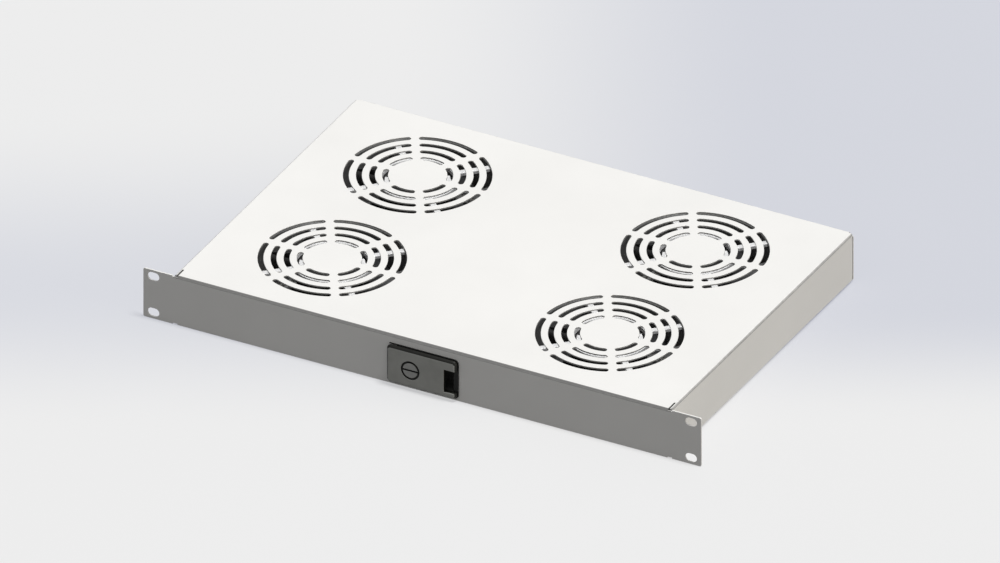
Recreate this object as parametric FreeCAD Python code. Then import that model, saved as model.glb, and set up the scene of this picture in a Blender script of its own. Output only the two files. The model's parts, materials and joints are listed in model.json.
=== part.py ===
import FreeCAD, Part
import math
import os

# Rack fan tray, one rack unit high.
# A folded steel cover carries the punched outlet grilles and the 19 inch front panel. Four axial
# fans stand on a folded base pan inside it and blow upwards. A flush pull latch in the panel holds
# the front edge of the base pan, and the mains inlet and the wiring are at the back.
#
# Millimetres. X to the right, Y to the back, Z up. The origin is the centre of the four rack slots,
# on the front face of the panel.

V = FreeCAD.Vector
UP = V(0, 0, 1)
BACK = V(0, 1, 0)

# ---------------------------------------------------------------- driving dimensions

# Rack panel
PANEL_W = 482.6
PANEL_H = 43.0
PANEL_CORNER_R = 1.5
RACK_SLOT_PITCH_X = 465.1
RACK_SLOT_PITCH_Z = 31.75
RACK_SLOT_LENGTH = 10.0
RACK_SLOT_WIDTH = 7.0

# Folded sheet
SHEET = 1.2
BEND_INSIDE_R = 1.2
BODY_W = 430.0
BODY_D = 300.0
SIDE_WALL_REAR_GAP = 1.8
SIDE_WALL_LIFT = 0.4
CORNER_SLIT_W = 1.5
CORNER_SLIT_L = 9.1
CORNER_NOTCH_W = 4.2
CORNER_NOTCH_H = 0.9

# Outlet grilles
FAN_PITCH_X = 240.0
FAN_PITCH_Y = 140.0
FAN_FRONT_Y = 80.0
GRILLE_INNER_R = 25.0
GRILLE_RING_STEP = 10.0
GRILLE_RINGS = 4
GRILLE_SLOT_W = 4.5
GRILLE_SEGMENTS = 6
GRILLE_WEB = 6.0
GRILLE_CHORD_SAG = 0.5
GRILLE_END_CHORDS = 2

# Base pan
PAN_LIFT = 1.6
PAN_SIDE_GAP = 0.3
PAN_FRONT_GAP = 0.6
PAN_RIM_H = 12.0
PAN_RIM_END_GAP = 5.0
PAN_FRONT_RIM_CLEAR = 46.0
PAN_REAR_RIM_CLEAR = 30.0
INTAKE_R = 56.0

# Fans
FAN_SIZE = 119.0
FAN_DEPTH = 38.0
FAN_CORNER_CUT = 2.5
FAN_SIDES = 32
FAN_BORE_R = 57.5
FAN_HOLE_PITCH = 105.0
FAN_SCREW_R = 2.0
FAN_SCREW_L = 9.0
FAN_SCREW_HEAD_R = 3.8
FAN_SCREW_HEAD_H = 1.1
SCREW_CLEARANCE = 0.3

# Motor bracket, in the outlet side of each fan
STRUT_W = 5.0
STRUT_T = 3.0
STRUT_DROP = 0.8
STRUT_START = 45.0
CUP_R = 31.5
CUP_WALL = 3.5
CUP_DEPTH = 6.2
CUP_FLOOR = 1.2
LUG_INNER_R = 22.0
LUG_OUTER_R = 25.5
LUG_H = 3.3
LUG_START = 15.0
LUG_SPAN = 30.0
LEAD_ARM_R = 40.0
LEAD_ARM_W = 8.0
ARM_DROP = 1.0
TERMINAL_PLACES = [(42.5, 1.6), (52.0, 1.6), (52.0, -2.4)]
TERMINAL_L = 2.6
TERMINAL_W = 2.0
TERMINAL_H = 1.4
CUP_SIDES = 20
BEARING_TUBE_R = 5.0
BEARING_R = 3.4
BEARING_LIFT = 4.0
SHAFT_R = 1.5
SHAFT_FIT = 0.04
SHAFT_END_GAP = 0.2

# Impeller
BLADES = 5
HUB_SIDES = 18
BLADE_CHORD_STEPS = 2
BLADE_SPAN_STEPS = 2
BLADE_TIP_GAP = 1.3
HUB_R = 30.0
HUB_WALL = 2.0
HUB_BOTTOM = 5.0
HUB_TOP_GAP = 1.0
BLADE_T = 1.8
BLADE_ROOT_PITCH = 46.0
BLADE_TIP_PITCH = 26.0
BLADE_EDGE_GAP = 3.0
BLADE_CAMBER = 2.6
BLADE_SWEEP = 12.0

# Stator
STATOR_HUB_GAP = 4.0
STATOR_TOP_GAP = 5.0
STATOR_POLE_W = 14.0
POLE_SHOE_T = 8.0
STATOR_LIFT = 1.0

# Latch, measured from its own centre
LATCH_X = 1.0
LATCH_DROP = 24.0
PADDLE_W = 60.0
PADDLE_H = 33.0
PADDLE_T = 2.8
PADDLE_CORNER_R = 3.0
PADDLE_EDGE_CUT = 1.4
PADDLE_GAP = 0.2
PADDLE_SWING = 20.0
PADDLE_END_GAP = 0.4
BEZEL_T = 1.0
BEZEL_MARGIN = 0.7
HOUSING_W = 56.4
HOUSING_H = 26.4
HOUSING_DEPTH = 18.4
HOUSING_WALL = 1.4
SNAP_W = 12.0
SNAP_H = 1.0
SNAP_L = 4.0
CUTOUT_GAP = 0.2
NOTCH_LEFT = 19.7
NOTCH_H = 19.3
NOTCH_Z = -1.85
POCKET_LEFT = 13.0
POCKET_DEPTH = 14.0
POCKET_R = 5.0
PIN_X = -24.4
PIN_Y = 3.0
PIN_R = 1.0
KNUCKLE_R = 2.2
KNUCKLE_L = 6.5
KNUCKLE_SIDES = 12
KNUCKLE_WEB = 1.0
PIN_FIT = 0.06
SPRING_R = 1.9
SPRING_WIRE = 0.7
SPRING_END_GAP = 0.3
ARM_REACH = 9.0
ARM_W = 1.6
ARM_TIP_R = 1.3
ARM_TIP_FIT = 0.12
ARM_TIP_ROOM = 0.3
ARM_END_GAP = 0.3

# Coin lock in the paddle
LOCK_X = -9.4
LOCK_Z = -1.0
LOCK_R = 6.5
LOCK_FIT = 0.08
LOCK_SIDES = 24
LOCK_GROOVE_R = 7.8
LOCK_GROOVE_DEPTH = 1.4
LOCK_SLOT_W = 1.3
LOCK_SLOT_DEPTH = 1.6
LOCK_SLEEVE_WALL = 1.4
LOCK_SLEEVE_L = 6.0
LOCK_TAIL_W = 4.0
CAM_T = 2.0
CAM_W = 7.0
CAM_REACH = 13.8
CAM_GAP = 0.5
LOCK_SCREW_R = 2.9
LOCK_SCREW_H = 1.2

# Sliding bolt and the keeper that it enters
BOLT_H = 5.0
BOLT_T = 6.0
BOLT_TIP_X = -35.0
BOLT_END_X = -15.0
BOLT_GAP = 0.2
BOLT_NOSE_CUT = 2.5
KEEPER_X = -33.7
KEEPER_T = 1.5
KEEPER_W = 16.0
KEEPER_FOOT = 13.0
KEEPER_MARGIN = 2.4
KEEPER_GAP = 0.5
RIVET_R = 2.4
RIVET_H = 1.2
RIVET_PITCH = 8.0
RIVET_INSET = 5.2
RETAINER_MARGIN = 2.5
RETAINER_T = 1.5

# Mains inlet, at the back
INLET_X = 0.0
INLET_Z = 1.0
INLET_FLANGE_W = 50.0
INLET_FLANGE_H = 24.0
INLET_FLANGE_T = 2.5
INLET_CORNER_CUT = 2.5
INLET_BODY_W = 27.0
INLET_BODY_H = 19.4
INLET_BODY_DEPTH = 18.0
INLET_MOUTH_W = 23.6
INLET_MOUTH_H = 15.6
INLET_MOUTH_DEPTH = 15.0
INLET_MOUTH_CHAMFER = 4.0
INLET_SCREW_PITCH = 40.0
INLET_SCREW_R = 1.5
INLET_SCREW_HEAD_R = 2.8
INLET_SCREW_HEAD_H = 1.6
INLET_PIN_PITCH = 7.0
INLET_PIN_STEP = 2.0
INLET_PIN_W = 2.0
INLET_PIN_H = 4.0
INLET_PIN_L = 13.0
INLET_TAB_L = 7.0

# Wiring
DUCT_W = 16.0
DUCT_H = 14.0
DUCT_WALL = 1.2
DUCT_FRONT_Y = 66.0
DUCT_BACK_Y = 238.0
DUCT_WINDOW_GAP = 0.8
CORE_PITCH = 5.5
CORE_W = 2.4
CORE_T = 3.0
LEAD_W = 6.0
LEAD_T = 2.6
BLOCK_PITCH = 7.0
BLOCK_POLES = 3
BLOCK_WALL = 1.5
BLOCK_D = 14.0
BLOCK_H = 13.0
BLOCK_Y = 243.0
BLOCK_END_WALL = 4.0

# Small screws
REAR_SCREW_R = 1.5
REAR_SCREW_HEAD_R = 2.9
REAR_SCREW_HEAD_H = 1.8
REAR_SCREW_L = 6.0
REAR_SCREW_PLACES = [-180.0, -95.0, 95.0, 180.0]
REAR_SCREW_LIFT = 6.6
SCREW_SIDES = 6
SMALL_ROUND_SIDES = 8

# ---------------------------------------------------------------- derived levels

PANEL_TOP = PANEL_H / 2
PANEL_BOTTOM = -PANEL_H / 2
BEND_R = BEND_INSIDE_R + SHEET
COVER_INSIDE = PANEL_TOP - SHEET
PAN_BOTTOM = PANEL_BOTTOM + PAN_LIFT
FAN_BASE = PAN_BOTTOM + SHEET
FAN_TOP = FAN_BASE + FAN_DEPTH
SIDE_BOTTOM = PAN_BOTTOM + SIDE_WALL_LIFT
LATCH_Z = PANEL_TOP - LATCH_DROP
SIDE_INSIDE = BODY_W / 2 - SHEET
REAR_INSIDE = BODY_D - SHEET
SIDE_REAR = REAR_INSIDE - SIDE_WALL_REAR_GAP
FAN_CENTRES = [
    (x, y)
    for y in (FAN_FRONT_Y, FAN_FRONT_Y + FAN_PITCH_Y)
    for x in (-FAN_PITCH_X / 2, FAN_PITCH_X / 2)
]
# where each fan's lead arm points, in degrees from +X
LEAD_ANGLES = [-110.0, -12.0, -10.0, -110.0]


# ---------------------------------------------------------------- helpers


def polar(centre, radius, angle):
    return centre + V(radius * math.cos(angle), radius * math.sin(angle), 0)


def box(x0, x1, y0, y1, z0, z1):
    return Part.makeBox(x1 - x0, y1 - y0, z1 - z0, V(x0, y0, z0))


def rod(radius, start, end):
    """A cylinder from one point to another."""
    axis = end - start
    return Part.makeCylinder(radius, axis.Length, start, axis)


def screw(shank_r, head_r, head_h, under_head, end):
    """A screw of one solid, from the seat of its head to its end."""
    head_top = under_head + (under_head - end).normalize() * head_h
    shank = faceted(shank_r, under_head, end, SCREW_SIDES)
    return shank.fuse(faceted(head_r, head_top, under_head, SCREW_SIDES))


def prism(points, direction):
    """A closed outline of straight edges, pushed along a direction."""
    return Part.Face(Part.makePolygon(points + points[:1])).extrude(direction)


def faceted(radius, start, end, sides=SMALL_ROUND_SIDES):
    """A round bar drawn as a prism inside its radius, for what repeats, to keep the face count low."""
    axis = end - start
    turn = FreeCAD.Rotation(UP, axis)
    points = [start + turn.multVec(polar(V(), radius, 2 * math.pi * (i + 0.5) / sides)) for i in range(sides)]
    return prism(points, axis)


def faceted_hole(radius, start, end, sides=SMALL_ROUND_SIDES):
    """The cutter for a round hole drawn as a prism, which leaves the whole radius free."""
    return faceted(radius / math.cos(math.pi / sides), start, end, sides)


def arc_points(centre, radius, start, end, chords):
    """Points along an arc in the XY plane, both ends included."""
    return [polar(centre, radius, start + (end - start) * i / chords) for i in range(chords + 1)]


def fuse(shapes):
    return shapes[0].multiFuse(shapes[1:]).removeSplitter()


def rounded_path(points, radius):
    """The edges of an open path with an arc at each inner corner."""
    edges = []
    here = points[0]
    for before, corner, after in zip(points, points[1:], points[2:]):
        inward = (before - corner).normalize()
        outward = (after - corner).normalize()
        half = inward.getAngle(outward) / 2
        start = corner + inward * (radius / math.tan(half))
        end = corner + outward * (radius / math.tan(half))
        bisector = (inward + outward).normalize()
        middle = corner + bisector * (radius / math.sin(half) - radius)
        edges.append(Part.LineSegment(here, start).toShape())
        edges.append(Part.Arc(start, middle, end).toShape())
        here = end
    edges.append(Part.LineSegment(here, points[-1]).toShape())
    return edges


def folded_sheet(outside, normal, direction):
    """A folded sheet, given its outside path, the way to its inner side at the first flange, and its extrusion."""
    inside = offset_path(outside, normal, SHEET)
    return strip_between(rounded_path(outside, BEND_R), rounded_path(inside, BEND_INSIDE_R), direction)


def strip_between(side_a, side_b, direction):
    """The strip between two open paths of edges, pushed along a direction."""
    ends = [(side_a[0].firstVertex().Point, side_b[0].firstVertex().Point)]
    ends += [(side_a[-1].lastVertex().Point, side_b[-1].lastVertex().Point)]
    edges = side_a + side_b + [Part.LineSegment(start, end).toShape() for start, end in ends]
    return Part.Face(Part.Wire(Part.__sortEdges__(edges))).extrude(direction)


def offset_path(points, normal, distance):
    """The path moved sideways by a distance, with its corners kept sharp."""
    along = (points[1] - points[0]).normalize()
    turn_axis = along.cross(normal)
    normals = []
    for start, end in zip(points, points[1:]):
        normals.append(turn_axis.cross((end - start).normalize()))
    moved = [points[0] + normals[0] * distance]
    for i, corner in enumerate(points[1:-1]):
        moved.append(corner + (normals[i] + normals[i + 1]) * distance)
    moved.append(points[-1] + normals[-1] * distance)
    return moved


def rounded_plate(half_x, half_z, radius, y0, y1, x=0.0, z=0.0):
    """A plate facing the front, with rounded corners, between two depths."""
    plate = box(x - half_x, x + half_x, y0, y1, z - half_z, z + half_z)
    corners = [e for e in plate.Edges if abs(e.tangentAt(e.FirstParameter).y) > 0.99]
    return plate.makeFillet(radius, corners)


def obround(length, width, y0, y1, x, z):
    """A slot along X with round ends, cut from front to back."""
    reach = (length - width) / 2
    middle = box(x - reach, x + reach, y0, y1, z - width / 2, z + width / 2)
    ends = [rod(width / 2, V(x + s * reach, y0, z), V(x + s * reach, y1, z)) for s in (-1, 1)]
    return fuse([middle] + ends)


# ---------------------------------------------------------------- folded cover


def ring_slot(centre, radius, start, end, depth):
    """One curved slot of a grille, pushed through the sheet. Its rounds are short chords."""
    half = GRILLE_SLOT_W / 2
    points = []
    for r, a, b in ((radius - half, start, end), (radius + half, end, start)):
        step = 2 * math.acos(1 - GRILLE_CHORD_SAG / r)
        points += arc_points(centre, r, a, b, math.ceil(abs(b - a) / step))
        tip = polar(centre, radius, b)
        inward = math.pi if b > a else 0.0
        points += arc_points(tip, half, b + inward, b + inward + math.pi, GRILLE_END_CHORDS)[1:-1]
    return prism(points, V(0, 0, depth))


def grille_slots():
    slots = []
    for x, y in FAN_CENTRES:
        centre = V(x, y, COVER_INSIDE - SHEET)
        for n in range(GRILLE_RINGS):
            radius = GRILLE_INNER_R + n * GRILLE_RING_STEP
            margin = (GRILLE_WEB + GRILLE_SLOT_W) / 2 / radius
            for k in range(GRILLE_SEGMENTS):
                start = 2 * math.pi * k / GRILLE_SEGMENTS + margin
                end = 2 * math.pi * (k + 1) / GRILLE_SEGMENTS - margin
                slots.append(ring_slot(centre, radius, start, end, 3 * SHEET))
    return slots


def make_cover():
    """Top, rack panel, side walls and rear wall, folded from one sheet."""
    bend_half = BODY_W / 2 - BEND_R
    front_half = bend_half - CORNER_SLIT_W / 2
    side = BODY_W / 2
    section = [V(-side, 0, SIDE_BOTTOM), V(-side, 0, PANEL_TOP), V(side, 0, PANEL_TOP), V(side, 0, SIDE_BOTTOM)]
    section = [p + V(0, BEND_R, 0) for p in section]
    top_and_sides = folded_sheet(section, V(1, 0, 0), V(0, SIDE_REAR - BEND_R, 0))
    front = folded_sheet(
        [V(-front_half, 0, PANEL_BOTTOM), V(-front_half, 0, PANEL_TOP), V(-front_half, 2 * BEND_R, PANEL_TOP)],
        BACK,
        V(2 * front_half, 0, 0),
    )
    rear = folded_sheet(
        [
            V(-front_half, BODY_D, PAN_BOTTOM),
            V(-front_half, BODY_D, PANEL_TOP),
            V(-front_half, SIDE_REAR - BEND_R, PANEL_TOP),
        ],
        V(0, -1, 0),
        V(2 * front_half, 0, 0),
    )
    panel = rounded_plate(PANEL_W / 2, PANEL_H / 2, PANEL_CORNER_R, 0, SHEET)
    panel = panel.cut(box(-front_half, front_half, -1, BEND_R, PANEL_TOP - BEND_R, PANEL_TOP + 1))
    cover = fuse([top_and_sides, front, rear, panel])

    cuts = grille_slots()
    for s in (-1, 1):
        for t in (-1, 1):
            x, z = s * RACK_SLOT_PITCH_X / 2, t * RACK_SLOT_PITCH_Z / 2
            cuts.append(obround(RACK_SLOT_LENGTH, RACK_SLOT_WIDTH, -1, SHEET + 1, x, z))
            notch_x = s * (front_half + CORNER_NOTCH_W / 2)
            notch_z = t * PANEL_H / 2
            cuts.append(
                box(
                    notch_x - CORNER_NOTCH_W / 2,
                    notch_x + CORNER_NOTCH_W / 2,
                    -1,
                    SHEET,
                    notch_z - CORNER_NOTCH_H,
                    notch_z + CORNER_NOTCH_H,
                )
            )
        slit = s * (front_half + CORNER_SLIT_W / 2)
        reach = CORNER_SLIT_W / 2
        cuts.append(
            box(slit - reach, slit + reach, SHEET, BEND_R + CORNER_SLIT_L, COVER_INSIDE - 1, PANEL_TOP + 1)
        )
    half_w = HOUSING_W / 2 + CUTOUT_GAP
    half_h = HOUSING_H / 2 + CUTOUT_GAP
    cuts.append(
        box(LATCH_X - half_w, LATCH_X + half_w, -1, SHEET + 1, LATCH_Z - half_h, LATCH_Z + half_h)
    )
    cuts.append(
        inlet_box(INLET_BODY_W + 2 * CUTOUT_GAP, INLET_BODY_H + 2 * CUTOUT_GAP, REAR_INSIDE - 1, BODY_D + 1)
    )
    for start, end in inlet_screw_axes():
        cuts.append(faceted_hole(INLET_SCREW_R, start - BACK, end, SCREW_SIDES))
    for start, end in rear_screw_axes():
        cuts.append(faceted_hole(REAR_SCREW_R + SCREW_CLEARANCE, start, end, SCREW_SIDES))
    return cover.cut(cuts)


# ---------------------------------------------------------------- base pan


def fan_screw_places():
    half = FAN_HOLE_PITCH / 2
    return [(x + s * half, y + t * half) for x, y in FAN_CENTRES for s in (-1, 1) for t in (-1, 1)]


def rear_screw_axes():
    z = FAN_BASE + REAR_SCREW_LIFT
    return [(V(x, REAR_INSIDE - REAR_SCREW_L, z), V(x, BODY_D, z)) for x in REAR_SCREW_PLACES]


def make_base_pan():
    """The pan that the fans stand on, with a rim folded up on all four sides."""
    half = SIDE_INSIDE - PAN_SIDE_GAP
    front_y = SHEET + PAN_FRONT_GAP
    rim_top = FAN_BASE + PAN_RIM_H
    rim_half = half - BEND_R - PAN_RIM_END_GAP
    sides = folded_sheet(
        [
            V(-half, front_y + BEND_R, rim_top),
            V(-half, front_y + BEND_R, PAN_BOTTOM),
            V(half, front_y + BEND_R, PAN_BOTTOM),
            V(half, front_y + BEND_R, rim_top),
        ],
        V(1, 0, 0),
        V(0, REAR_INSIDE - BEND_R - front_y - BEND_R, 0),
    )
    pieces = [sides]
    for start, end in ((-rim_half, -PAN_FRONT_RIM_CLEAR), (PAN_FRONT_RIM_CLEAR, rim_half)):
        pieces.append(
            folded_sheet(
                [
                    V(start, front_y, rim_top),
                    V(start, front_y, PAN_BOTTOM),
                    V(start, front_y + 2 * BEND_R, PAN_BOTTOM),
                ],
                BACK,
                V(end - start, 0, 0),
            )
        )
    for start, end in ((-rim_half, -PAN_REAR_RIM_CLEAR), (PAN_REAR_RIM_CLEAR, rim_half)):
        pieces.append(
            folded_sheet(
                [
                    V(start, REAR_INSIDE, rim_top),
                    V(start, REAR_INSIDE, PAN_BOTTOM),
                    V(start, REAR_INSIDE - 2 * BEND_R, PAN_BOTTOM),
                ],
                V(0, -1, 0),
                V(end - start, 0, 0),
            )
        )
    holes = [(x, y, INTAKE_R, FAN_SIDES) for x, y in FAN_CENTRES]
    holes += [(x, y, FAN_SCREW_R + SCREW_CLEARANCE, SCREW_SIDES) for x, y in fan_screw_places()]
    cuts = [faceted_hole(r, V(x, y, PAN_BOTTOM - 1), V(x, y, FAN_BASE + 1), n) for x, y, r, n in holes]
    for start, end in rear_screw_axes():
        cuts.append(faceted_hole(REAR_SCREW_R + SCREW_CLEARANCE, start, end, SCREW_SIDES))
    return fuse(pieces).cut(cuts)


def make_fan_screws():
    """Low-headed screws that hold the fans down on the pan."""
    screws = []
    for x, y in fan_screw_places():
        under_head, end = V(x, y, PAN_BOTTOM), V(x, y, PAN_BOTTOM + FAN_SCREW_L)
        screws.append(screw(FAN_SCREW_R, FAN_SCREW_HEAD_R, FAN_SCREW_HEAD_H, under_head, end))
    return Part.makeCompound(screws)


def make_rear_screws():
    screws = [
        screw(REAR_SCREW_R, REAR_SCREW_HEAD_R, REAR_SCREW_HEAD_H, under_head, end)
        for end, under_head in rear_screw_axes()
    ]
    return Part.makeCompound(screws)


# ---------------------------------------------------------------- fans


def make_fan_frame(x, y, lead_angle):
    """The square frame round the bore, with the arm that carries the lead's terminals."""
    half = FAN_SIZE / 2
    frame = box(x - half, x + half, y - half, y + half, FAN_BASE, FAN_TOP)
    uprights = [e for e in frame.Edges if abs(e.tangentAt(e.FirstParameter).z) > 0.99]
    frame = frame.makeChamfer(FAN_CORNER_CUT, uprights)
    frame = frame.cut(faceted_hole(FAN_BORE_R, V(x, y, FAN_BASE - 1), V(x, y, FAN_TOP + 1), FAN_SIDES))
    arm_top = FAN_TOP - STRUT_DROP - ARM_DROP
    arm = box(x + LEAD_ARM_R, x + FAN_BORE_R + 1, y - LEAD_ARM_W / 2, y + LEAD_ARM_W / 2, arm_top - STRUT_T, arm_top)
    arm.rotate(V(x, y, 0), UP, lead_angle)
    half_pitch = FAN_HOLE_PITCH / 2
    holes = []
    for s in (-1, 1):
        for t in (-1, 1):
            foot = V(x + s * half_pitch, y + t * half_pitch, FAN_BASE)
            end = foot + UP * (FAN_SCREW_L - SHEET)
            holes.append(faceted(FAN_SCREW_R, foot, end, SCREW_SIDES))
    return frame.fuse(arm).cut(holes)


def make_motor_bracket(x, y):
    """Four diagonal struts and the motor cup, with the bearing tube below it."""
    top = FAN_TOP - STRUT_DROP
    floor = top - CUP_DEPTH
    centre = V(x, y, 0)

    def at(z):
        return V(x, y, z)

    struts = []
    for i in range(4):
        strut = box(
            x + CUP_R - CUP_WALL / 2,
            x + FAN_BORE_R * math.cos(math.pi / FAN_SIDES),
            y - STRUT_W / 2,
            y + STRUT_W / 2,
            top - STRUT_T,
            top,
        )
        strut.rotate(centre, UP, STRUT_START + 90 * i)
        struts.append(strut)
    cup = faceted(CUP_R, at(floor), at(top), CUP_SIDES)
    cup = cup.cut(faceted(CUP_R - CUP_WALL, at(floor + CUP_FLOOR), at(top + 1), CUP_SIDES))
    lugs = []
    for i in range(2):
        start = math.radians(LUG_START + 180 * i)
        end = start + math.radians(LUG_SPAN)
        outline = arc_points(at(floor + CUP_FLOOR), LUG_OUTER_R, start, end, 2)
        outline += arc_points(at(floor + CUP_FLOOR), LUG_INNER_R, end, start, 2)
        lugs.append(prism(outline, V(0, 0, LUG_H)))
    tube = faceted(BEARING_TUBE_R, at(bearing_levels()[0]), at(floor + CUP_FLOOR))
    bore = faceted(BEARING_R, at(FAN_BASE), at(floor + CUP_FLOOR / 2))
    return fuse(struts + [cup, tube] + lugs).cut(bore)


def bearing_levels():
    """The lower end of the bearing tube and the upper end of its sleeve."""
    return hub_levels()[0] + HUB_WALL + BEARING_LIFT, FAN_TOP - STRUT_DROP - CUP_DEPTH


def make_bearings():
    """The plain sleeve that fills each bearing tube."""
    z0, z1 = bearing_levels()
    sleeves = []
    for x, y in FAN_CENTRES:
        sleeve = faceted(BEARING_R, V(x, y, z0), V(x, y, z1))
        sleeves.append(sleeve.cut(faceted_hole(SHAFT_R + SHAFT_FIT, V(x, y, z0 - 1), V(x, y, z1 + 1))))
    return Part.makeCompound(sleeves)


def make_stators():
    """Four-pole iron stacks with a square bundle of coils, on the bearing tubes."""
    tube_low, tube_high = bearing_levels()
    z0, z1 = tube_low + STATOR_LIFT, tube_high - STATOR_TOP_GAP
    reach = HUB_R - HUB_WALL - STATOR_HUB_GAP
    coil_end = reach - POLE_SHOE_T
    half = STATOR_POLE_W / 2
    stators = []
    for x, y in FAN_CENTRES:
        coils = box(x - coil_end, x + coil_end, y - coil_end, y + coil_end, z0, z1)
        poles = [box(x - a, x + a, y - b, y + b, z0, z1) for a, b in ((reach, half), (half, reach))]
        bore = faceted(BEARING_TUBE_R, V(x, y, z0 - 1), V(x, y, z1 + 1))
        stators.append(fuse([coils] + poles).cut(bore))
    return Part.makeCompound(stators)


def hub_levels():
    return FAN_BASE + HUB_BOTTOM, FAN_TOP - STRUT_DROP - CUP_DEPTH - HUB_TOP_GAP


def blade_ring(share):
    """The closed loop of one blade section, wrapped on the cylinder at a share of the span."""
    tip_r = FAN_BORE_R - BLADE_TIP_GAP
    root_r = HUB_R - HUB_WALL / 2
    radius = root_r + (tip_r - root_r) * share
    pitch = math.radians(BLADE_ROOT_PITCH + (BLADE_TIP_PITCH - BLADE_ROOT_PITCH) * share)
    sweep = math.radians(BLADE_SWEEP) * share
    hub_low, hub_high = hub_levels()
    chord = (hub_high - hub_low - 2 * BLADE_EDGE_GAP) / math.sin(pitch)
    middle = (hub_low + hub_high) / 2 + BLADE_T / 2
    loop = []
    for side in (1, -1):
        for i in range(BLADE_CHORD_STEPS + 1):
            along = side * (0.5 - i / BLADE_CHORD_STEPS)
            bow = BLADE_CAMBER * (1 - 4 * along * along)
            across = side * BLADE_T / 2 * (1.0 - abs(along)) - bow
            tangent = along * chord * math.cos(pitch) - across * math.sin(pitch)
            height = middle + along * chord * math.sin(pitch) + across * math.cos(pitch)
            loop.append(polar(V(0, 0, height), radius, sweep + tangent / radius))
    return loop


def stitched(loops):
    """A solid with flat facets between closed loops of as many points each, and a fan of facets at both ends."""
    facets = []
    count = len(loops[0])
    for low, high in zip(loops, loops[1:]):
        for i in range(count):
            j = (i + 1) % count
            facets.append([low[i], low[j], high[j]])
            facets.append([low[i], high[j], high[i]])
    for loop in (loops[0], loops[-1]):
        for i in range(count // 2 - 1):
            facets.append([loop[i], loop[i + 1], loop[count - 2 - i]])
            facets.append([loop[i], loop[count - 2 - i], loop[count - 1 - i]])
    faces = [Part.Face(Part.makePolygon(points + points[:1])) for points in facets]
    solid = Part.Solid(Part.Shell(faces))
    if solid.Volume < 0:
        solid.reverse()
    return solid


def make_impeller(x, y):
    """A cup hub with swept and twisted blades, clear of the bore."""
    hub_base, hub_top = hub_levels()
    hub = faceted(HUB_R, V(0, 0, hub_base), V(0, 0, hub_top), HUB_SIDES)
    blade = stitched([blade_ring(i / BLADE_SPAN_STEPS) for i in range(BLADE_SPAN_STEPS + 1)])
    blades = []
    for i in range(BLADES):
        one = blade.copy()
        one.rotate(V(), UP, 360.0 * i / BLADES)
        blades.append(one)
    impeller = hub.multiFuse(blades)
    inside = faceted(HUB_R - HUB_WALL, V(0, 0, hub_base + HUB_WALL), V(0, 0, hub_top + 1), HUB_SIDES)
    socket = faceted(SHAFT_R, V(0, 0, hub_base + HUB_WALL / 2), V(0, 0, hub_top))
    impeller = impeller.cut([inside, socket])
    impeller.translate(V(x, y, 0))
    return impeller


def make_shaft(x, y):
    start = hub_levels()[0] + HUB_WALL / 2
    end = bearing_levels()[1] - SHAFT_END_GAP
    return faceted(SHAFT_R, V(x, y, start), V(x, y, end))


def make_fan_terminals():
    """The small tabs on each lead arm."""
    tabs = []
    base = FAN_TOP - STRUT_DROP - ARM_DROP
    for (x, y), angle in zip(FAN_CENTRES, LEAD_ANGLES):
        for r, side in TERMINAL_PLACES:
            x0, y0 = x + r - TERMINAL_L / 2, y + side - TERMINAL_W / 2
            tab = box(x0, x0 + TERMINAL_L, y0, y0 + TERMINAL_W, base, base + TERMINAL_H)
            tab.rotate(V(x, y, 0), UP, angle)
            tabs.append(tab)
    return Part.makeCompound(tabs)


# ---------------------------------------------------------------- latch


def place_latch(shape):
    shape.translate(V(LATCH_X, 0, LATCH_Z))
    return shape


def bolt_levels():
    """The bolt's lowest and highest Z and its front and back Y, inside the housing."""
    floor = -HOUSING_H / 2 + HOUSING_WALL + BOLT_GAP
    back = HOUSING_DEPTH - HOUSING_WALL - BOLT_GAP
    return floor, floor + BOLT_H, back - BOLT_T, back


def cam_depths():
    start = LOCK_SLEEVE_L + CAM_GAP
    return start, start + CAM_T


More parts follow.
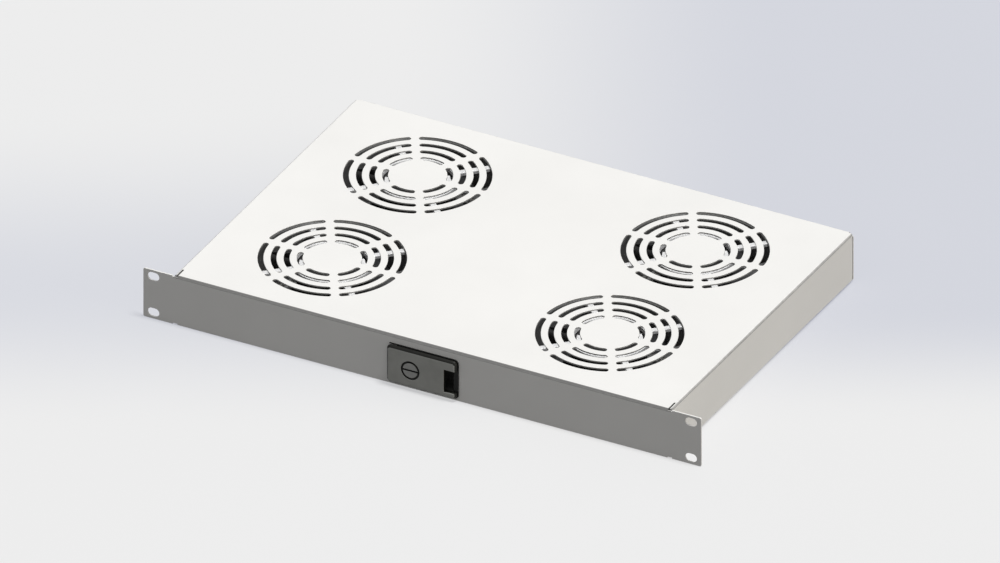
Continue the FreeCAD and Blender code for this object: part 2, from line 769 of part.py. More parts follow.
def make_latch_housing():
    """The cup behind the panel, with a bezel in front and a finger scoop at its right end."""
    half_w, half_h = HOUSING_W / 2, HOUSING_H / 2
    body = box(-half_w, half_w, 0, HOUSING_DEPTH, -half_h, half_h)
    bezel = rounded_plate(
        PADDLE_W / 2 + BEZEL_MARGIN, PADDLE_H / 2 + BEZEL_MARGIN, PADDLE_CORNER_R + BEZEL_MARGIN, -BEZEL_T, 0
    )
    bezel = bezel.cut(box(-PADDLE_W, PIN_X + KNUCKLE_R, -BEZEL_T - 1, 0, -PADDLE_H, PADDLE_H))
    housing = body.fuse(bezel)
    inner_w, inner_h = half_w - HOUSING_WALL, half_h - HOUSING_WALL
    wall_x = POCKET_LEFT - HOUSING_WALL
    chamber = box(-inner_w, wall_x, -BEZEL_T - 1, HOUSING_DEPTH - HOUSING_WALL, -inner_h, inner_h)
    scoop = box(POCKET_LEFT, inner_w, -BEZEL_T - 1, POCKET_DEPTH, -inner_h, inner_h)
    deep = [e for e in scoop.Edges if min(v.Point.y for v in e.Vertexes) > POCKET_DEPTH - 0.01]
    housing = housing.cut([chamber, scoop.makeFillet(POCKET_R, deep)])
    low, high, front, back = bolt_levels()
    window = box(
        -half_w - 1, -inner_w + 1, front - BOLT_GAP, back + BOLT_GAP, low - BOLT_GAP, high + BOLT_GAP
    )
    cam_front, cam_back = cam_depths()
    cam_sweep = math.sqrt(CAM_REACH**2 + (CAM_W / 2) ** 2 - (inner_h + LOCK_Z) ** 2)
    cam_slot = box(
        LOCK_X - cam_sweep - CAM_GAP,
        LOCK_X + CAM_W / 2 + CAM_GAP,
        cam_front - CAM_GAP,
        cam_back + CAM_GAP,
        -half_h - 1,
        -inner_h + 1,
    )
    pin_hole = faceted(PIN_R, V(PIN_X, PIN_Y, -half_h - 1), V(PIN_X, PIN_Y, half_h + 1))
    housing = housing.cut([window, cam_slot, pin_hole])
    ramps = [snap_ramp(s) for s in (-1, 1)]
    return place_latch(fuse([housing] + ramps))


def snap_ramp(side):
    """A wedge on the top or bottom of the housing, which the retainer snaps behind."""
    z = side * HOUSING_H / 2
    y = SHEET + RETAINER_T
    x = -SNAP_W / 2
    return prism([V(x, y, z), V(x, y, z + side * SNAP_H), V(x, y + SNAP_L, z)], V(SNAP_W, 0, 0))


def make_latch_retainer():
    """The ring that clamps the housing from behind the panel."""
    half_w, half_h = HOUSING_W / 2, HOUSING_H / 2
    out_w, out_h = half_w + RETAINER_MARGIN, half_h + RETAINER_MARGIN
    plate = box(-out_w, out_w, SHEET, SHEET + RETAINER_T, -out_h, out_h)
    return place_latch(plate.cut(box(-half_w, half_w, 0, HOUSING_DEPTH, -half_h, half_h)))


def make_latch_paddle():
    """The pull plate, with its hinge knuckles, the arm that draws the bolt and the sleeve for the lock."""
    back = -BEZEL_T - PADDLE_GAP
    front = back - PADDLE_T
    plate = rounded_plate(PADDLE_W / 2, PADDLE_H / 2, PADDLE_CORNER_R, front, back)
    rim = [e for e in plate.Edges if max(v.Point.y for v in e.Vertexes) < front + 0.01]
    plate = plate.makeChamfer(PADDLE_EDGE_CUT, rim)
    notch = box(
        NOTCH_LEFT, PADDLE_W, front - 1, back + 1, NOTCH_Z - NOTCH_H / 2, NOTCH_Z + NOTCH_H / 2
    )
    pieces = [plate.cut(notch)]
    reach = HOUSING_H / 2 - HOUSING_WALL - PADDLE_END_GAP
    low, high, bolt_front, bolt_back = bolt_levels()
    for z0, z1 in ((-reach, -reach + KNUCKLE_L), (reach - KNUCKLE_L, reach)):
        pieces.append(faceted(KNUCKLE_R, V(PIN_X, PIN_Y, z0), V(PIN_X, PIN_Y, z1), KNUCKLE_SIDES))
        pieces.append(box(PIN_X - KNUCKLE_WEB, PIN_X + KNUCKLE_R, back - 0.5, PIN_Y, z0, z1))
    z0, z1 = low + ARM_END_GAP, high - ARM_END_GAP
    pieces.append(box(PIN_X - ARM_W / 2, PIN_X + ARM_W / 2, PIN_Y, PIN_Y + ARM_REACH, z0, z1))
    pieces.append(faceted(ARM_TIP_R, V(PIN_X, PIN_Y + ARM_REACH, z0), V(PIN_X, PIN_Y + ARM_REACH, z1)))
    sleeve_r = LOCK_R + LOCK_SLEEVE_WALL
    sleeve_start, sleeve_end = V(LOCK_X, back - 0.5, LOCK_Z), V(LOCK_X, LOCK_SLEEVE_L, LOCK_Z)
    pieces.append(faceted(sleeve_r, sleeve_start, sleeve_end, LOCK_SIDES))
    paddle = fuse(pieces)
    heel_room = box(
        PIN_X - PADDLE_W, PIN_X, -PADDLE_GAP / 2, HOUSING_DEPTH, -PADDLE_H, PADDLE_H
    )
    heel_room = heel_room.cut(faceted_hole(KNUCKLE_R, V(PIN_X, PIN_Y, -PADDLE_H), V(PIN_X, PIN_Y, PADDLE_H)))
    heel_room.rotate(V(PIN_X, PIN_Y, 0), UP, PADDLE_SWING)
    heel_room = heel_room.cut(box(PIN_X - KNUCKLE_R, PIN_X + PADDLE_W, back, HOUSING_DEPTH, -PADDLE_H, PADDLE_H))
    axis_low, axis_high = V(PIN_X, PIN_Y, -PADDLE_H), V(PIN_X, PIN_Y, PADDLE_H)
    lock_front, lock_back = V(LOCK_X, front - 1, LOCK_Z), V(LOCK_X, LOCK_SLEEVE_L + 1, LOCK_Z)
    groove_floor = V(LOCK_X, front + LOCK_GROOVE_DEPTH, LOCK_Z)
    paddle = paddle.cut(
        [
            heel_room,
            faceted_hole(PIN_R + PIN_FIT, axis_low, axis_high),
            faceted_hole(LOCK_R + LOCK_FIT, lock_front, lock_back, LOCK_SIDES),
            faceted(LOCK_GROOVE_R, lock_front, groove_floor, LOCK_SIDES),
        ]
    )
    return place_latch(paddle)


def make_latch_pin():
    half = HOUSING_H / 2
    return place_latch(faceted(PIN_R, V(PIN_X, PIN_Y, -half), V(PIN_X, PIN_Y, half)))


def make_latch_spring():
    """The torsion spring round the hinge pin, as a plain sleeve of its outer size."""
    reach = HOUSING_H / 2 - HOUSING_WALL - PADDLE_END_GAP - KNUCKLE_L - SPRING_END_GAP
    start, end = V(PIN_X, PIN_Y, -reach), V(PIN_X, PIN_Y, reach)
    sleeve = faceted(SPRING_R, start, end).cut(faceted(SPRING_R - SPRING_WIRE, start, end))
    return place_latch(sleeve)


def make_lock_plug():
    """The coin-slotted plug, with the tail that carries the cam."""
    front = -BEZEL_T - PADDLE_GAP - PADDLE_T
    plug = faceted(LOCK_R, V(LOCK_X, front, LOCK_Z), V(LOCK_X, LOCK_SLEEVE_L, LOCK_Z), LOCK_SIDES)
    slot = box(
        LOCK_X - LOCK_R - 1,
        LOCK_X + LOCK_R + 1,
        front - 1,
        front + LOCK_SLOT_DEPTH,
        LOCK_Z - LOCK_SLOT_W / 2,
        LOCK_Z + LOCK_SLOT_W / 2,
    )
    half = LOCK_TAIL_W / 2
    tail = box(LOCK_X - half, LOCK_X + half, LOCK_SLEEVE_L, cam_depths()[1], LOCK_Z - half, LOCK_Z + half)
    return place_latch(plug.cut(slot).fuse(tail))


def make_lock_cam():
    """The lever on the plug's tail, pointing to the hinge while the latch is unlocked."""
    y0, y1 = cam_depths()
    bar = box(LOCK_X - CAM_REACH, LOCK_X, y0, y1, LOCK_Z - CAM_W / 2, LOCK_Z + CAM_W / 2)
    boss = faceted(CAM_W / 2, V(LOCK_X, y0, LOCK_Z), V(LOCK_X, y1, LOCK_Z))
    half = LOCK_TAIL_W / 2
    hole = box(LOCK_X - half, LOCK_X + half, y0 - 1, y1 + 1, LOCK_Z - half, LOCK_Z + half)
    return place_latch(fuse([bar, boss]).cut(hole))


def make_lock_screw():
    """The screw that keeps the cam on the plug's tail."""
    y1 = cam_depths()[1]
    head = faceted(LOCK_SCREW_R, V(LOCK_X, y1, LOCK_Z), V(LOCK_X, y1 + LOCK_SCREW_H, LOCK_Z), SCREW_SIDES)
    return place_latch(head)


def make_latch_bolt():
    """The bolt, with a notch that the paddle's arm moves in."""
    low, high, front, back = bolt_levels()
    bar = box(BOLT_TIP_X, BOLT_END_X, front, back, low, high)
    nose = prism(
        [
            V(BOLT_TIP_X - 1, front - 1, low),
            V(BOLT_TIP_X + BOLT_NOSE_CUT, front - 1, low),
            V(BOLT_TIP_X - 1, front + BOLT_NOSE_CUT, low),
        ],
        V(0, 0, BOLT_H),
    )
    notch_half = ARM_TIP_R + ARM_TIP_FIT
    depth = PIN_Y + ARM_REACH + ARM_TIP_R + ARM_TIP_ROOM
    notch = box(PIN_X - notch_half, PIN_X + notch_half, front - 1, depth, low - 1, high + 1)
    return place_latch(bar.cut([nose, notch]))


def make_latch_keeper():
    """The angle bracket on the base pan, with the window that the bolt enters."""
    low, high, front, back = bolt_levels()
    x1 = LATCH_X + KEEPER_X + KEEPER_T / 2
    x0 = x1 - KEEPER_T
    middle = (front + back) / 2
    window_top = high + LATCH_Z + KEEPER_GAP
    upright_top = window_top + KEEPER_MARGIN
    upright = box(x0, x1, middle - KEEPER_W / 2, middle + KEEPER_W / 2, FAN_BASE, upright_top)
    foot = box(x1 - KEEPER_FOOT, x1, middle - KEEPER_W / 2, middle + KEEPER_W / 2, FAN_BASE, FAN_BASE + KEEPER_T)
    window = box(
        x0 - 1,
        x1 + 1,
        front - KEEPER_GAP,
        back + KEEPER_GAP,
        low + LATCH_Z - KEEPER_GAP,
        window_top,
    )
    return fuse([upright, foot]).cut(window)


def make_keeper_rivets():
    low, high, front, back = bolt_levels()
    x = LATCH_X + KEEPER_X + KEEPER_T / 2 - KEEPER_FOOT + RIVET_INSET
    middle = (front + back) / 2
    top = FAN_BASE + KEEPER_T
    rivets = [
        faceted(RIVET_R, V(x, middle + s, top), V(x, middle + s, top + RIVET_H))
        for s in (-RIVET_PITCH / 2, RIVET_PITCH / 2)
    ]
    return Part.makeCompound(rivets)


# ---------------------------------------------------------------- inlet and wiring


def inlet_box(width, height, y0, y1):
    half_w, half_h = width / 2, height / 2
    return box(INLET_X - half_w, INLET_X + half_w, y0, y1, INLET_Z - half_h, INLET_Z + half_h)


def make_power_inlet():
    """The inlet body, with its flange on the rear wall and an open mouth."""
    flange = inlet_box(INLET_FLANGE_W, INLET_FLANGE_H, BODY_D, BODY_D + INLET_FLANGE_T)
    flange = flange.makeChamfer(INLET_CORNER_CUT, [e for e in flange.Edges if e.Length < INLET_FLANGE_T + 0.01])
    body = inlet_box(INLET_BODY_W, INLET_BODY_H, BODY_D - INLET_BODY_DEPTH, BODY_D)
    face = BODY_D + INLET_FLANGE_T
    half_w, half_h = INLET_MOUTH_W / 2, INLET_MOUTH_H / 2
    cut = INLET_MOUTH_CHAMFER
    outline = [(-half_w, -half_h), (half_w, -half_h), (half_w, half_h - cut), (half_w - cut, half_h)]
    outline += [(-half_w + cut, half_h), (-half_w, half_h - cut)]
    points = [V(INLET_X + px, face - INLET_MOUTH_DEPTH, INLET_Z + pz) for px, pz in outline]
    mouth = prism(points, V(0, INLET_MOUTH_DEPTH + 1, 0))
    holes = [
        faceted_hole(INLET_SCREW_R, start - BACK, end + BACK, SCREW_SIDES) for start, end in inlet_screw_axes()
    ]
    return flange.fuse(body).cut([mouth] + holes + inlet_pins())


def inlet_screw_axes():
    places = [INLET_X + s * INLET_SCREW_PITCH / 2 for s in (-1, 1)]
    return [(V(x, REAR_INSIDE, INLET_Z), V(x, BODY_D + INLET_FLANGE_T, INLET_Z)) for x in places]


def inlet_pin_places():
    """The blades' X and Z from the inlet's middle: the earth blade sits higher, between the others."""
    return [(-INLET_PIN_PITCH, -INLET_PIN_STEP), (0.0, INLET_PIN_STEP), (INLET_PIN_PITCH, -INLET_PIN_STEP)]


def inlet_pins():
    """The three blades, from their solder tabs behind the body to inside the mouth."""
    root = BODY_D - INLET_BODY_DEPTH - INLET_TAB_L
    end = BODY_D + INLET_FLANGE_T - INLET_MOUTH_DEPTH + INLET_PIN_L
    pins = []
    for x, z in inlet_pin_places():
        pins.append(
            box(
                INLET_X + x - INLET_PIN_W / 2,
                INLET_X + x + INLET_PIN_W / 2,
                root,
                end,
                INLET_Z + z - INLET_PIN_H / 2,
                INLET_Z + z + INLET_PIN_H / 2,
            )
        )
    return pins


def make_inlet_pins():
    return Part.makeCompound(inlet_pins())


def make_inlet_screws():
    screws = [
        screw(INLET_SCREW_R, INLET_SCREW_HEAD_R, INLET_SCREW_HEAD_H, under_head, end)
        for end, under_head in inlet_screw_axes()
    ]
    return Part.makeCompound(screws)


def core_levels():
    """The cores lie on the floor of the duct."""
    return FAN_BASE + DUCT_WALL, FAN_BASE + DUCT_WALL + CORE_T


def lead_rows():
    """Where each row of fans sends its leads into the duct, along Y."""
    return [FAN_FRONT_Y, FAN_FRONT_Y + FAN_PITCH_Y]


def make_wire_duct():
    """The open trough along the middle of the pan, with windows for the fans' leads."""
    half = DUCT_W / 2
    duct = box(-half, half, DUCT_FRONT_Y, DUCT_BACK_Y, FAN_BASE, FAN_BASE + DUCT_H - DUCT_WALL)
    inner = half - DUCT_WALL
    cuts = [box(-inner, inner, DUCT_FRONT_Y - 1, DUCT_BACK_Y + 1, FAN_BASE + DUCT_WALL, FAN_TOP)]
    reach = LEAD_W / 2 + DUCT_WINDOW_GAP
    for y in lead_rows():
        cuts.append(box(-half - 1, half + 1, y - reach, y + reach, core_levels()[1], FAN_TOP))
    return duct.cut(cuts)


def make_duct_lid():
    half = DUCT_W / 2
    top = FAN_BASE + DUCT_H
    return box(-half, half, DUCT_FRONT_Y, DUCT_BACK_Y, top - DUCT_WALL, top)


def make_fan_leads():
    """Each fan's flat lead, from the side of its frame into the duct, where it lies on the cores."""
    z0 = core_levels()[1]
    fan_side = FAN_PITCH_X / 2 - FAN_SIZE / 2
    leads = []
    for s in (-1, 1):
        for y in lead_rows():
            x0, x1 = sorted((s * CORE_W / 2, s * fan_side))
            leads.append(box(x0, x1, y - LEAD_W / 2, y + LEAD_W / 2, z0, z0 + LEAD_T))
    return Part.makeCompound(leads)


def supply_cores():
    """The three cores in the duct, from the front fans to the terminal block."""
    z0, z1 = core_levels()
    start = lead_rows()[0] - LEAD_W / 2
    cores = []
    for i in (-1, 0, 1):
        x = i * CORE_PITCH
        cores.append(box(x - CORE_W / 2, x + CORE_W / 2, start, BLOCK_Y + BLOCK_WALL, z0, z1))
    return cores


def inlet_cores():
    """The three cores that drop from the inlet's tabs to the terminal block."""
    cores = []
    tab_y = BODY_D - INLET_BODY_DEPTH - INLET_TAB_L
    block_back = BLOCK_Y + BLOCK_D - BLOCK_WALL
    low = core_levels()[0] + CORE_W / 2
    for x, z in inlet_pin_places():
        middle = (tab_y + BLOCK_Y + BLOCK_D) / 2
        path = [V(0, block_back, low), V(0, middle, low), V(0, middle, INLET_Z + z), V(0, tab_y, INLET_Z + z)]
        below = offset_path(path, UP, -CORE_W / 2)
        above = offset_path(path, UP, CORE_W / 2)
        radius = (INLET_Z - INLET_PIN_STEP - low) / 2 - CORE_W
        core = strip_between(rounded_path(below, radius), rounded_path(above, radius), V(CORE_W, 0, 0))
        core.translate(V(INLET_X + x - CORE_W / 2, 0, 0))
        cores.append(core)
    return cores


def make_mains_cores():
    return Part.makeCompound(supply_cores() + inlet_cores())


def make_terminal_block():
    """A block with a through hole for each core and an open well over each clamp."""
    half = BLOCK_PITCH * BLOCK_POLES / 2 + BLOCK_WALL
    y0, y1 = BLOCK_Y, BLOCK_Y + BLOCK_D
    block = box(-half, half, y0, y1, FAN_BASE, FAN_BASE + BLOCK_H)
    wells = []
    for i in (-1, 0, 1):
        x = i * BLOCK_PITCH
        reach = (BLOCK_PITCH - BLOCK_WALL) / 2
        base, core_top = core_levels()
        wells.append(box(x - reach, x + reach, y0 - 1, y1 + 1, base, core_top + DUCT_WALL))
        wells.append(box(x - reach, x + reach, y0 + BLOCK_END_WALL, y1 - BLOCK_END_WALL, base, FAN_BASE + BLOCK_H + 1))
    return block.cut(wells)


# ---------------------------------------------------------------- nodes

NODES = {
    "top_cover": make_cover,
    "base_pan": make_base_pan,
    "fan_screws": make_fan_screws,
    "rear_screws": make_rear_screws,
    "fan_bearings": make_bearings,
    "fan_stators": make_stators,
    "fan_terminals": make_fan_terminals,
    "latch_housing": make_latch_housing,
    "latch_retainer": make_latch_retainer,
    "latch_paddle": make_latch_paddle,
    "latch_pin": make_latch_pin,
    "latch_spring": make_latch_spring,
    "lock_plug": make_lock_plug,
    "lock_cam": make_lock_cam,
    "lock_screw": make_lock_screw,
    "latch_bolt": make_latch_bolt,
    "latch_keeper": make_latch_keeper,
    "keeper_rivets": make_keeper_rivets,
    "power_inlet": make_power_inlet,
    "inlet_pins": make_inlet_pins,
    "inlet_screws": make_inlet_screws,
    "wire_duct": make_wire_duct,
    "duct_lid": make_duct_lid,
    "terminal_block": make_terminal_block,
    "fan_leads": make_fan_leads,
    "mains_cores": make_mains_cores,
}

os.makedirs("parts", exist_ok=True)
for node, make in NODES.items():
    make().exportStep(f"parts/{node}.step")
for i, (fan_x, fan_y) in enumerate(FAN_CENTRES):
    make_fan_frame(fan_x, fan_y, LEAD_ANGLES[i]).exportStep(f"parts/fan_frame_{i + 1}.step")
    make_motor_bracket(fan_x, fan_y).exportStep(f"parts/motor_bracket_{i + 1}.step")
    make_impeller(fan_x, fan_y).exportStep(f"parts/impeller_{i + 1}.step")
    make_shaft(fan_x, fan_y).exportStep(f"parts/fan_shaft_{i + 1}.step")
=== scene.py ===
import json
import math

import bpy
from mathutils import Matrix, Vector
from mathutils.geometry import tessellate_polygon

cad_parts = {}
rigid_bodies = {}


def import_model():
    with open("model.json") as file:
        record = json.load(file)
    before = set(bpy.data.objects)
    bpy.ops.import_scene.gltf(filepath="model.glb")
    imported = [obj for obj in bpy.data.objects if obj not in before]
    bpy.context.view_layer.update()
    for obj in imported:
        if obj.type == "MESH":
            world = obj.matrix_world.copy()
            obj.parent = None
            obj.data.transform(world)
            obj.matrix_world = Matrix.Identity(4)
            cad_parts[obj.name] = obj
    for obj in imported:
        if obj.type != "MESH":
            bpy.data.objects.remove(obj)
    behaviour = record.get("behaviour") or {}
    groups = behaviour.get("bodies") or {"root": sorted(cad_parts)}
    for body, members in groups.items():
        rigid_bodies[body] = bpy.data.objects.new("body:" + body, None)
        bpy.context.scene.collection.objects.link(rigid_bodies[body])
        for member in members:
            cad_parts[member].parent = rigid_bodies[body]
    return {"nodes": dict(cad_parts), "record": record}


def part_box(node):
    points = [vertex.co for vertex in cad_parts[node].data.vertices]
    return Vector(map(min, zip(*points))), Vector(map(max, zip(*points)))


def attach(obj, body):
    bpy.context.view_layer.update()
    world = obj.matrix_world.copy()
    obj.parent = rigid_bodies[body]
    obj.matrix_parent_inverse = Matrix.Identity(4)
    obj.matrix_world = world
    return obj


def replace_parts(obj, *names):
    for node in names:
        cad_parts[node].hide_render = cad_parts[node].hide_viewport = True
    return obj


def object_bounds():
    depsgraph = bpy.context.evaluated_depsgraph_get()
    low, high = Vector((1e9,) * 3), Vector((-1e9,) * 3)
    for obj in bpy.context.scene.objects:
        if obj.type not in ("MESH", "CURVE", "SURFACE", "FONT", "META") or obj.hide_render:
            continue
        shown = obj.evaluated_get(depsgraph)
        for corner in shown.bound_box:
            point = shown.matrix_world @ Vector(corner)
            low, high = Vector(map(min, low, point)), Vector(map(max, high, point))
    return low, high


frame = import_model()
NODES = frame["nodes"]
start_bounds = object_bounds()

MM = 0.001
X, Y, Z = Vector((1, 0, 0)), Vector((0, 1, 0)), Vector((0, 0, 1))
TAU = 2 * math.pi

# ---------------------------------------------------------------- materials


def new_material(name):
    """A material with its node tree and its principled shader."""
    material = bpy.data.materials.new(name)
    material.use_nodes = True
    tree = material.node_tree
    shader = tree.nodes["Principled BSDF"]
    return material, tree, shader


def noise(tree, scale, detail=3.0, roughness=0.55, stretch=(1, 1, 1)):
    """Object-space noise, its scale in waves to the metre."""
    place = tree.nodes.new("ShaderNodeTexCoord")
    mapping = tree.nodes.new("ShaderNodeMapping")
    mapping.inputs["Scale"].default_value = stretch
    texture = tree.nodes.new("ShaderNodeTexNoise")
    texture.inputs["Scale"].default_value = scale
    texture.inputs["Detail"].default_value = detail
    texture.inputs["Roughness"].default_value = roughness
    tree.links.new(place.outputs["Object"], mapping.inputs["Vector"])
    tree.links.new(mapping.outputs["Vector"], texture.inputs["Vector"])
    return texture.outputs["Fac"]


def ramp(tree, source, low, high, start=0.35, end=0.65):
    """A value that goes from low to high while the source goes from start to end. The defaults suit noise."""
    node = tree.nodes.new("ShaderNodeMapRange")
    node.inputs["From Min"].default_value = start
    node.inputs["From Max"].default_value = end
    node.inputs["To Min"].default_value = low
    node.inputs["To Max"].default_value = high
    tree.links.new(source, node.inputs["Value"])
    return node.outputs["Result"]


def bump(tree, shader, source, height, strength=1.0):
    node = tree.nodes.new("ShaderNodeBump")
    node.inputs["Strength"].default_value = strength
    node.inputs["Distance"].default_value = height
    tree.links.new(source, node.inputs["Height"])
    tree.links.new(node.outputs["Normal"], shader.inputs["Normal"])


def axes(tree):
    """The object-space coordinates, one by one."""
    place = tree.nodes.new("ShaderNodeTexCoord")
    split = tree.nodes.new("ShaderNodeSeparateXYZ")
    tree.links.new(place.outputs["Object"], split.inputs["Vector"])
    return split.outputs


def pick(tree, operation, a, b):
    """The larger or the smaller of two masks."""
    node = tree.nodes.new("ShaderNodeMath")
    node.operation = operation
    tree.links.new(a, node.inputs[0])
    tree.links.new(b, node.inputs[1])
    return node.outputs["Value"]


def blend(tree, mask, low, high):
    """A colour between two, each a plain colour or a socket."""
    mix = tree.nodes.new("ShaderNodeMix")
    mix.data_type = "RGBA"
    for side, colour in (("A", low), ("B", high)):
        if isinstance(colour, tuple):
            mix.inputs[side].default_value = (*colour, 1)
        else:
            tree.links.new(colour, mix.inputs[side])
    tree.links.new(mask, mix.inputs["Factor"])
    return mix.outputs["Result"]


def darker(colour, depth):
    return tuple(c * (1 - depth) for c in colour)


def tint(tree, shader, colour, source, depth):
    """The base colour, darkened a little where the source is low."""
    shade = blend(tree, ramp(tree, source, 0, 1), darker(colour, depth), colour)
    tree.links.new(shade, shader.inputs["Base Color"])


def folded_paint(name, colour, fold_shade, top, roughness=0.5, grain=2600, height=0.00002):
    """Paint with a fine orange-peel skin and faint shade changes, and painted shade along the upper folds.

    The painted shade lies in a band on the folds round the top, between the flat top and a level just below it. On
    the front fold it starts on the flat and is darker at its upper side. The ears beyond the body have no band.
    """
    material, tree, shader = new_material(name)
    place = axes(tree)
    under_top = ramp(tree, place["Z"], 1, 0, top - 0.22 * MM, top - 0.04 * MM)
    near_top = ramp(tree, place["Z"], 0, 1, top - 2.1 * MM, top - 1.5 * MM)
    near_front = ramp(tree, place["Y"], 1, 0, 1.8 * MM, 2.2 * MM)
    from_middle = tree.nodes.new("ShaderNodeMath")
    from_middle.operation = "ABSOLUTE"
    tree.links.new(place["X"], from_middle.inputs[0])
    on_body = ramp(tree, from_middle.outputs["Value"], 1, 0, 215.1 * MM, 215.4 * MM)
    band = pick(tree, "MINIMUM", pick(tree, "MAXIMUM", under_top, near_front), on_body)
    band = pick(tree, "MINIMUM", band, near_top)
    upper = ramp(tree, place["Z"], 0, 1, top - 1.1 * MM, top - 0.5 * MM)
    front = pick(tree, "MINIMUM", upper, ramp(tree, place["Y"], 1, 0, 3 * MM, 4 * MM))

    skin = blend(tree, ramp(tree, noise(tree, 9, 2), 0, 1), darker(colour, 0.03), colour)
    # The fold colour is painted shade, with a faint random tone, darker still on the front fold's upper side.
    shaded_fold = blend(tree, ramp(tree, noise(tree, 240, 2), 0, 1), darker(fold_shade, 0.2), fold_shade)
    shaded_fold = blend(tree, front, shaded_fold, darker(fold_shade, 0.6))
    tree.links.new(blend(tree, band, skin, shaded_fold), shader.inputs["Base Color"])
    tree.links.new(ramp(tree, noise(tree, 60), roughness - 0.04, roughness + 0.05), shader.inputs["Roughness"])
    bump(tree, shader, noise(tree, grain, 2), height, 0.5)
    return material


def sheet_metal(name, colour, roughness=0.34, direction=(1, 12, 12)):
    """Bare or plated metal with fine rolling lines and soft patches."""
    material, tree, shader = new_material(name)
    shader.inputs["Metallic"].default_value = 1.0
    tint(tree, shader, colour, noise(tree, 70, 4), 0.12)
    lines = noise(tree, 500, 3, 0.6, direction)
    tree.links.new(ramp(tree, lines, roughness - 0.07, roughness + 0.09), shader.inputs["Roughness"])
    bump(tree, shader, lines, 0.000012, 0.5)
    return material


def moulding(name, colour, roughness=0.5, height=0.00003, grain=1500):
    """Moulded plastic or a painted casting with a fine matt texture."""
    material, tree, shader = new_material(name)
    tint(tree, shader, colour, noise(tree, 140), 0.2)
    tree.links.new(ramp(tree, noise(tree, 320), roughness - 0.06, roughness + 0.08), shader.inputs["Roughness"])
    bump(tree, shader, noise(tree, grain, 2), height, 0.6)
    return material


def painted_shade_by_level(name, low_colour, high_colour, axis, start, end, roughness=0.42, rim=(), sheen=0.5):
    """Paint that changes from a low colour to a high colour along an axis, between two levels; the darker one is
    painted shade, where light falls less.

    With a rim, the change waits until the shade depth below, except beyond one of the rim's own levels.
    """
    material, tree, shader = new_material(name)
    place = axes(tree)
    level = ramp(tree, place[axis], 0, 1, start, end)
    if rim:
        near = [ramp(tree, place[way], 0, 1, light, dark) for way, light, dark in rim]
        level = pick(tree, "MINIMUM", level, pick(tree, "MAXIMUM", *near))
        level = pick(tree, "MAXIMUM", level, ramp(tree, place["Y"], 0, 1, *SHADE_DEPTH))
    shader.inputs["Specular IOR Level"].default_value = sheen
    cloud = ramp(tree, noise(tree, 90), 0, 1)
    shades = [blend(tree, cloud, colour, darker(colour, 0.12)) for colour in (low_colour, high_colour)]
    tree.links.new(blend(tree, level, *shades), shader.inputs["Base Color"])
    tree.links.new(ramp(tree, noise(tree, 300), roughness - 0.05, roughness + 0.07), shader.inputs["Roughness"])
    bump(tree, shader, noise(tree, 3200, 2), 0.000015, 0.5)
    return material


# Deeper than this behind its front, the latch plate is painted dark all over, as painted shade.
SHADE_DEPTH = (-3.7 * MM, -3.6 * MM)
# The cover's second colour is the painted shade along its folds.
PAINT, FOLD_SHADE = (0.87, 0.862, 0.84), (0.46, 0.455, 0.445)
LATCH_GREY, LOCK_GREY = (0.43, 0.434, 0.41), (0.38, 0.382, 0.366)
MATERIALS = {
    "cover_paint": folded_paint("cover_paint", PAINT, FOLD_SHADE, start_bounds[1][2]),
    "pan_steel": sheet_metal("pan_steel", (0.64, 0.65, 0.66)),
    "screw_steel": sheet_metal("screw_steel", (0.7, 0.7, 0.7), 0.28, (1, 1, 1)),
    "fan_cast": moulding("fan_cast", (0.16, 0.16, 0.157), 0.4),
    # The bracket is pale metal from the struts up; lower down, in its cup and on its tube, it is painted near black
    # as painted shade below the grille.
    "bracket_metal": painted_shade_by_level(
        "bracket_metal", (0.03, 0.03, 0.03), (0.88, 0.88, 0.88), "Z", 14.6 * MM, 15.2 * MM
    ),
    "impeller_black": moulding("impeller_black", (0.03, 0.031, 0.032), 0.42),
    "shaft_steel": sheet_metal("shaft_steel", (0.72, 0.72, 0.73), 0.2),
    "bearing_bronze": sheet_metal("bearing_bronze", (0.62, 0.42, 0.2), 0.45, (1, 1, 1)),
    "stator_iron": moulding("stator_iron", (0.2, 0.17, 0.15), 0.45),
    "terminal_metal": sheet_metal("terminal_metal", (0.8, 0.79, 0.76), 0.3, (1, 1, 1)),
    # The housing and bezel are painted near black at the front, as painted shade round the plate; behind the panel
    # they keep the plastic's own dark grey.
    "latch_black": painted_shade_by_level(
        "latch_black", (0.008, 0.008, 0.008), (0.1, 0.1, 0.097), "Y", -0.2 * MM, 0.4 * MM, sheen=0.15
    ),
    # The plate's face is grey; its top and right edges, and all of it a little behind the face, such as the notch,
    # groove and knuckles, are painted near black as painted shade.
    "latch_grey": painted_shade_by_level(
        "latch_grey", LATCH_GREY, (0.018, 0.018, 0.016), "Y", -3.97 * MM, -3.82 * MM, 0.4,
        (("Z", 11.2 * MM, 11.4 * MM), ("X", 29.7 * MM, 29.9 * MM)), 0.2,
    ),
    # The plug's face is grey; its coin slot, its edge and all of it behind the face are painted near black as
    # painted shade.
    "lock_metal": painted_shade_by_level(
        "lock_metal", LOCK_GREY, (0.012, 0.012, 0.012), "Y", -3.97 * MM, -3.75 * MM, 0.4
    ),
    "latch_steel": sheet_metal("latch_steel", (0.6, 0.6, 0.61)),
    "spring_steel": sheet_metal("spring_steel", (0.55, 0.55, 0.56), 0.25, (1, 1, 1)),
    "inlet_black": moulding("inlet_black", (0.015, 0.015, 0.016), 0.3),
    "duct_grey": moulding("duct_grey", (0.4, 0.41, 0.41), 0.5),
    "block_white": moulding("block_white", (0.7, 0.69, 0.65), 0.4),
    "lead_black": moulding("lead_black", (0.02, 0.02, 0.021), 0.4),
}
for part in frame["record"]["subparts"]:
    shown = NODES[part["node"]]
    shown.data.materials.clear()
    shown.data.materials.append(MATERIALS[part["material_slot"]])

# ---------------------------------------------------------------- surfaces
# All sizes below are in millimetres, in the frame's axes.

SMOOTH = math.cos(math.radians(40))
CRISP = 0.12


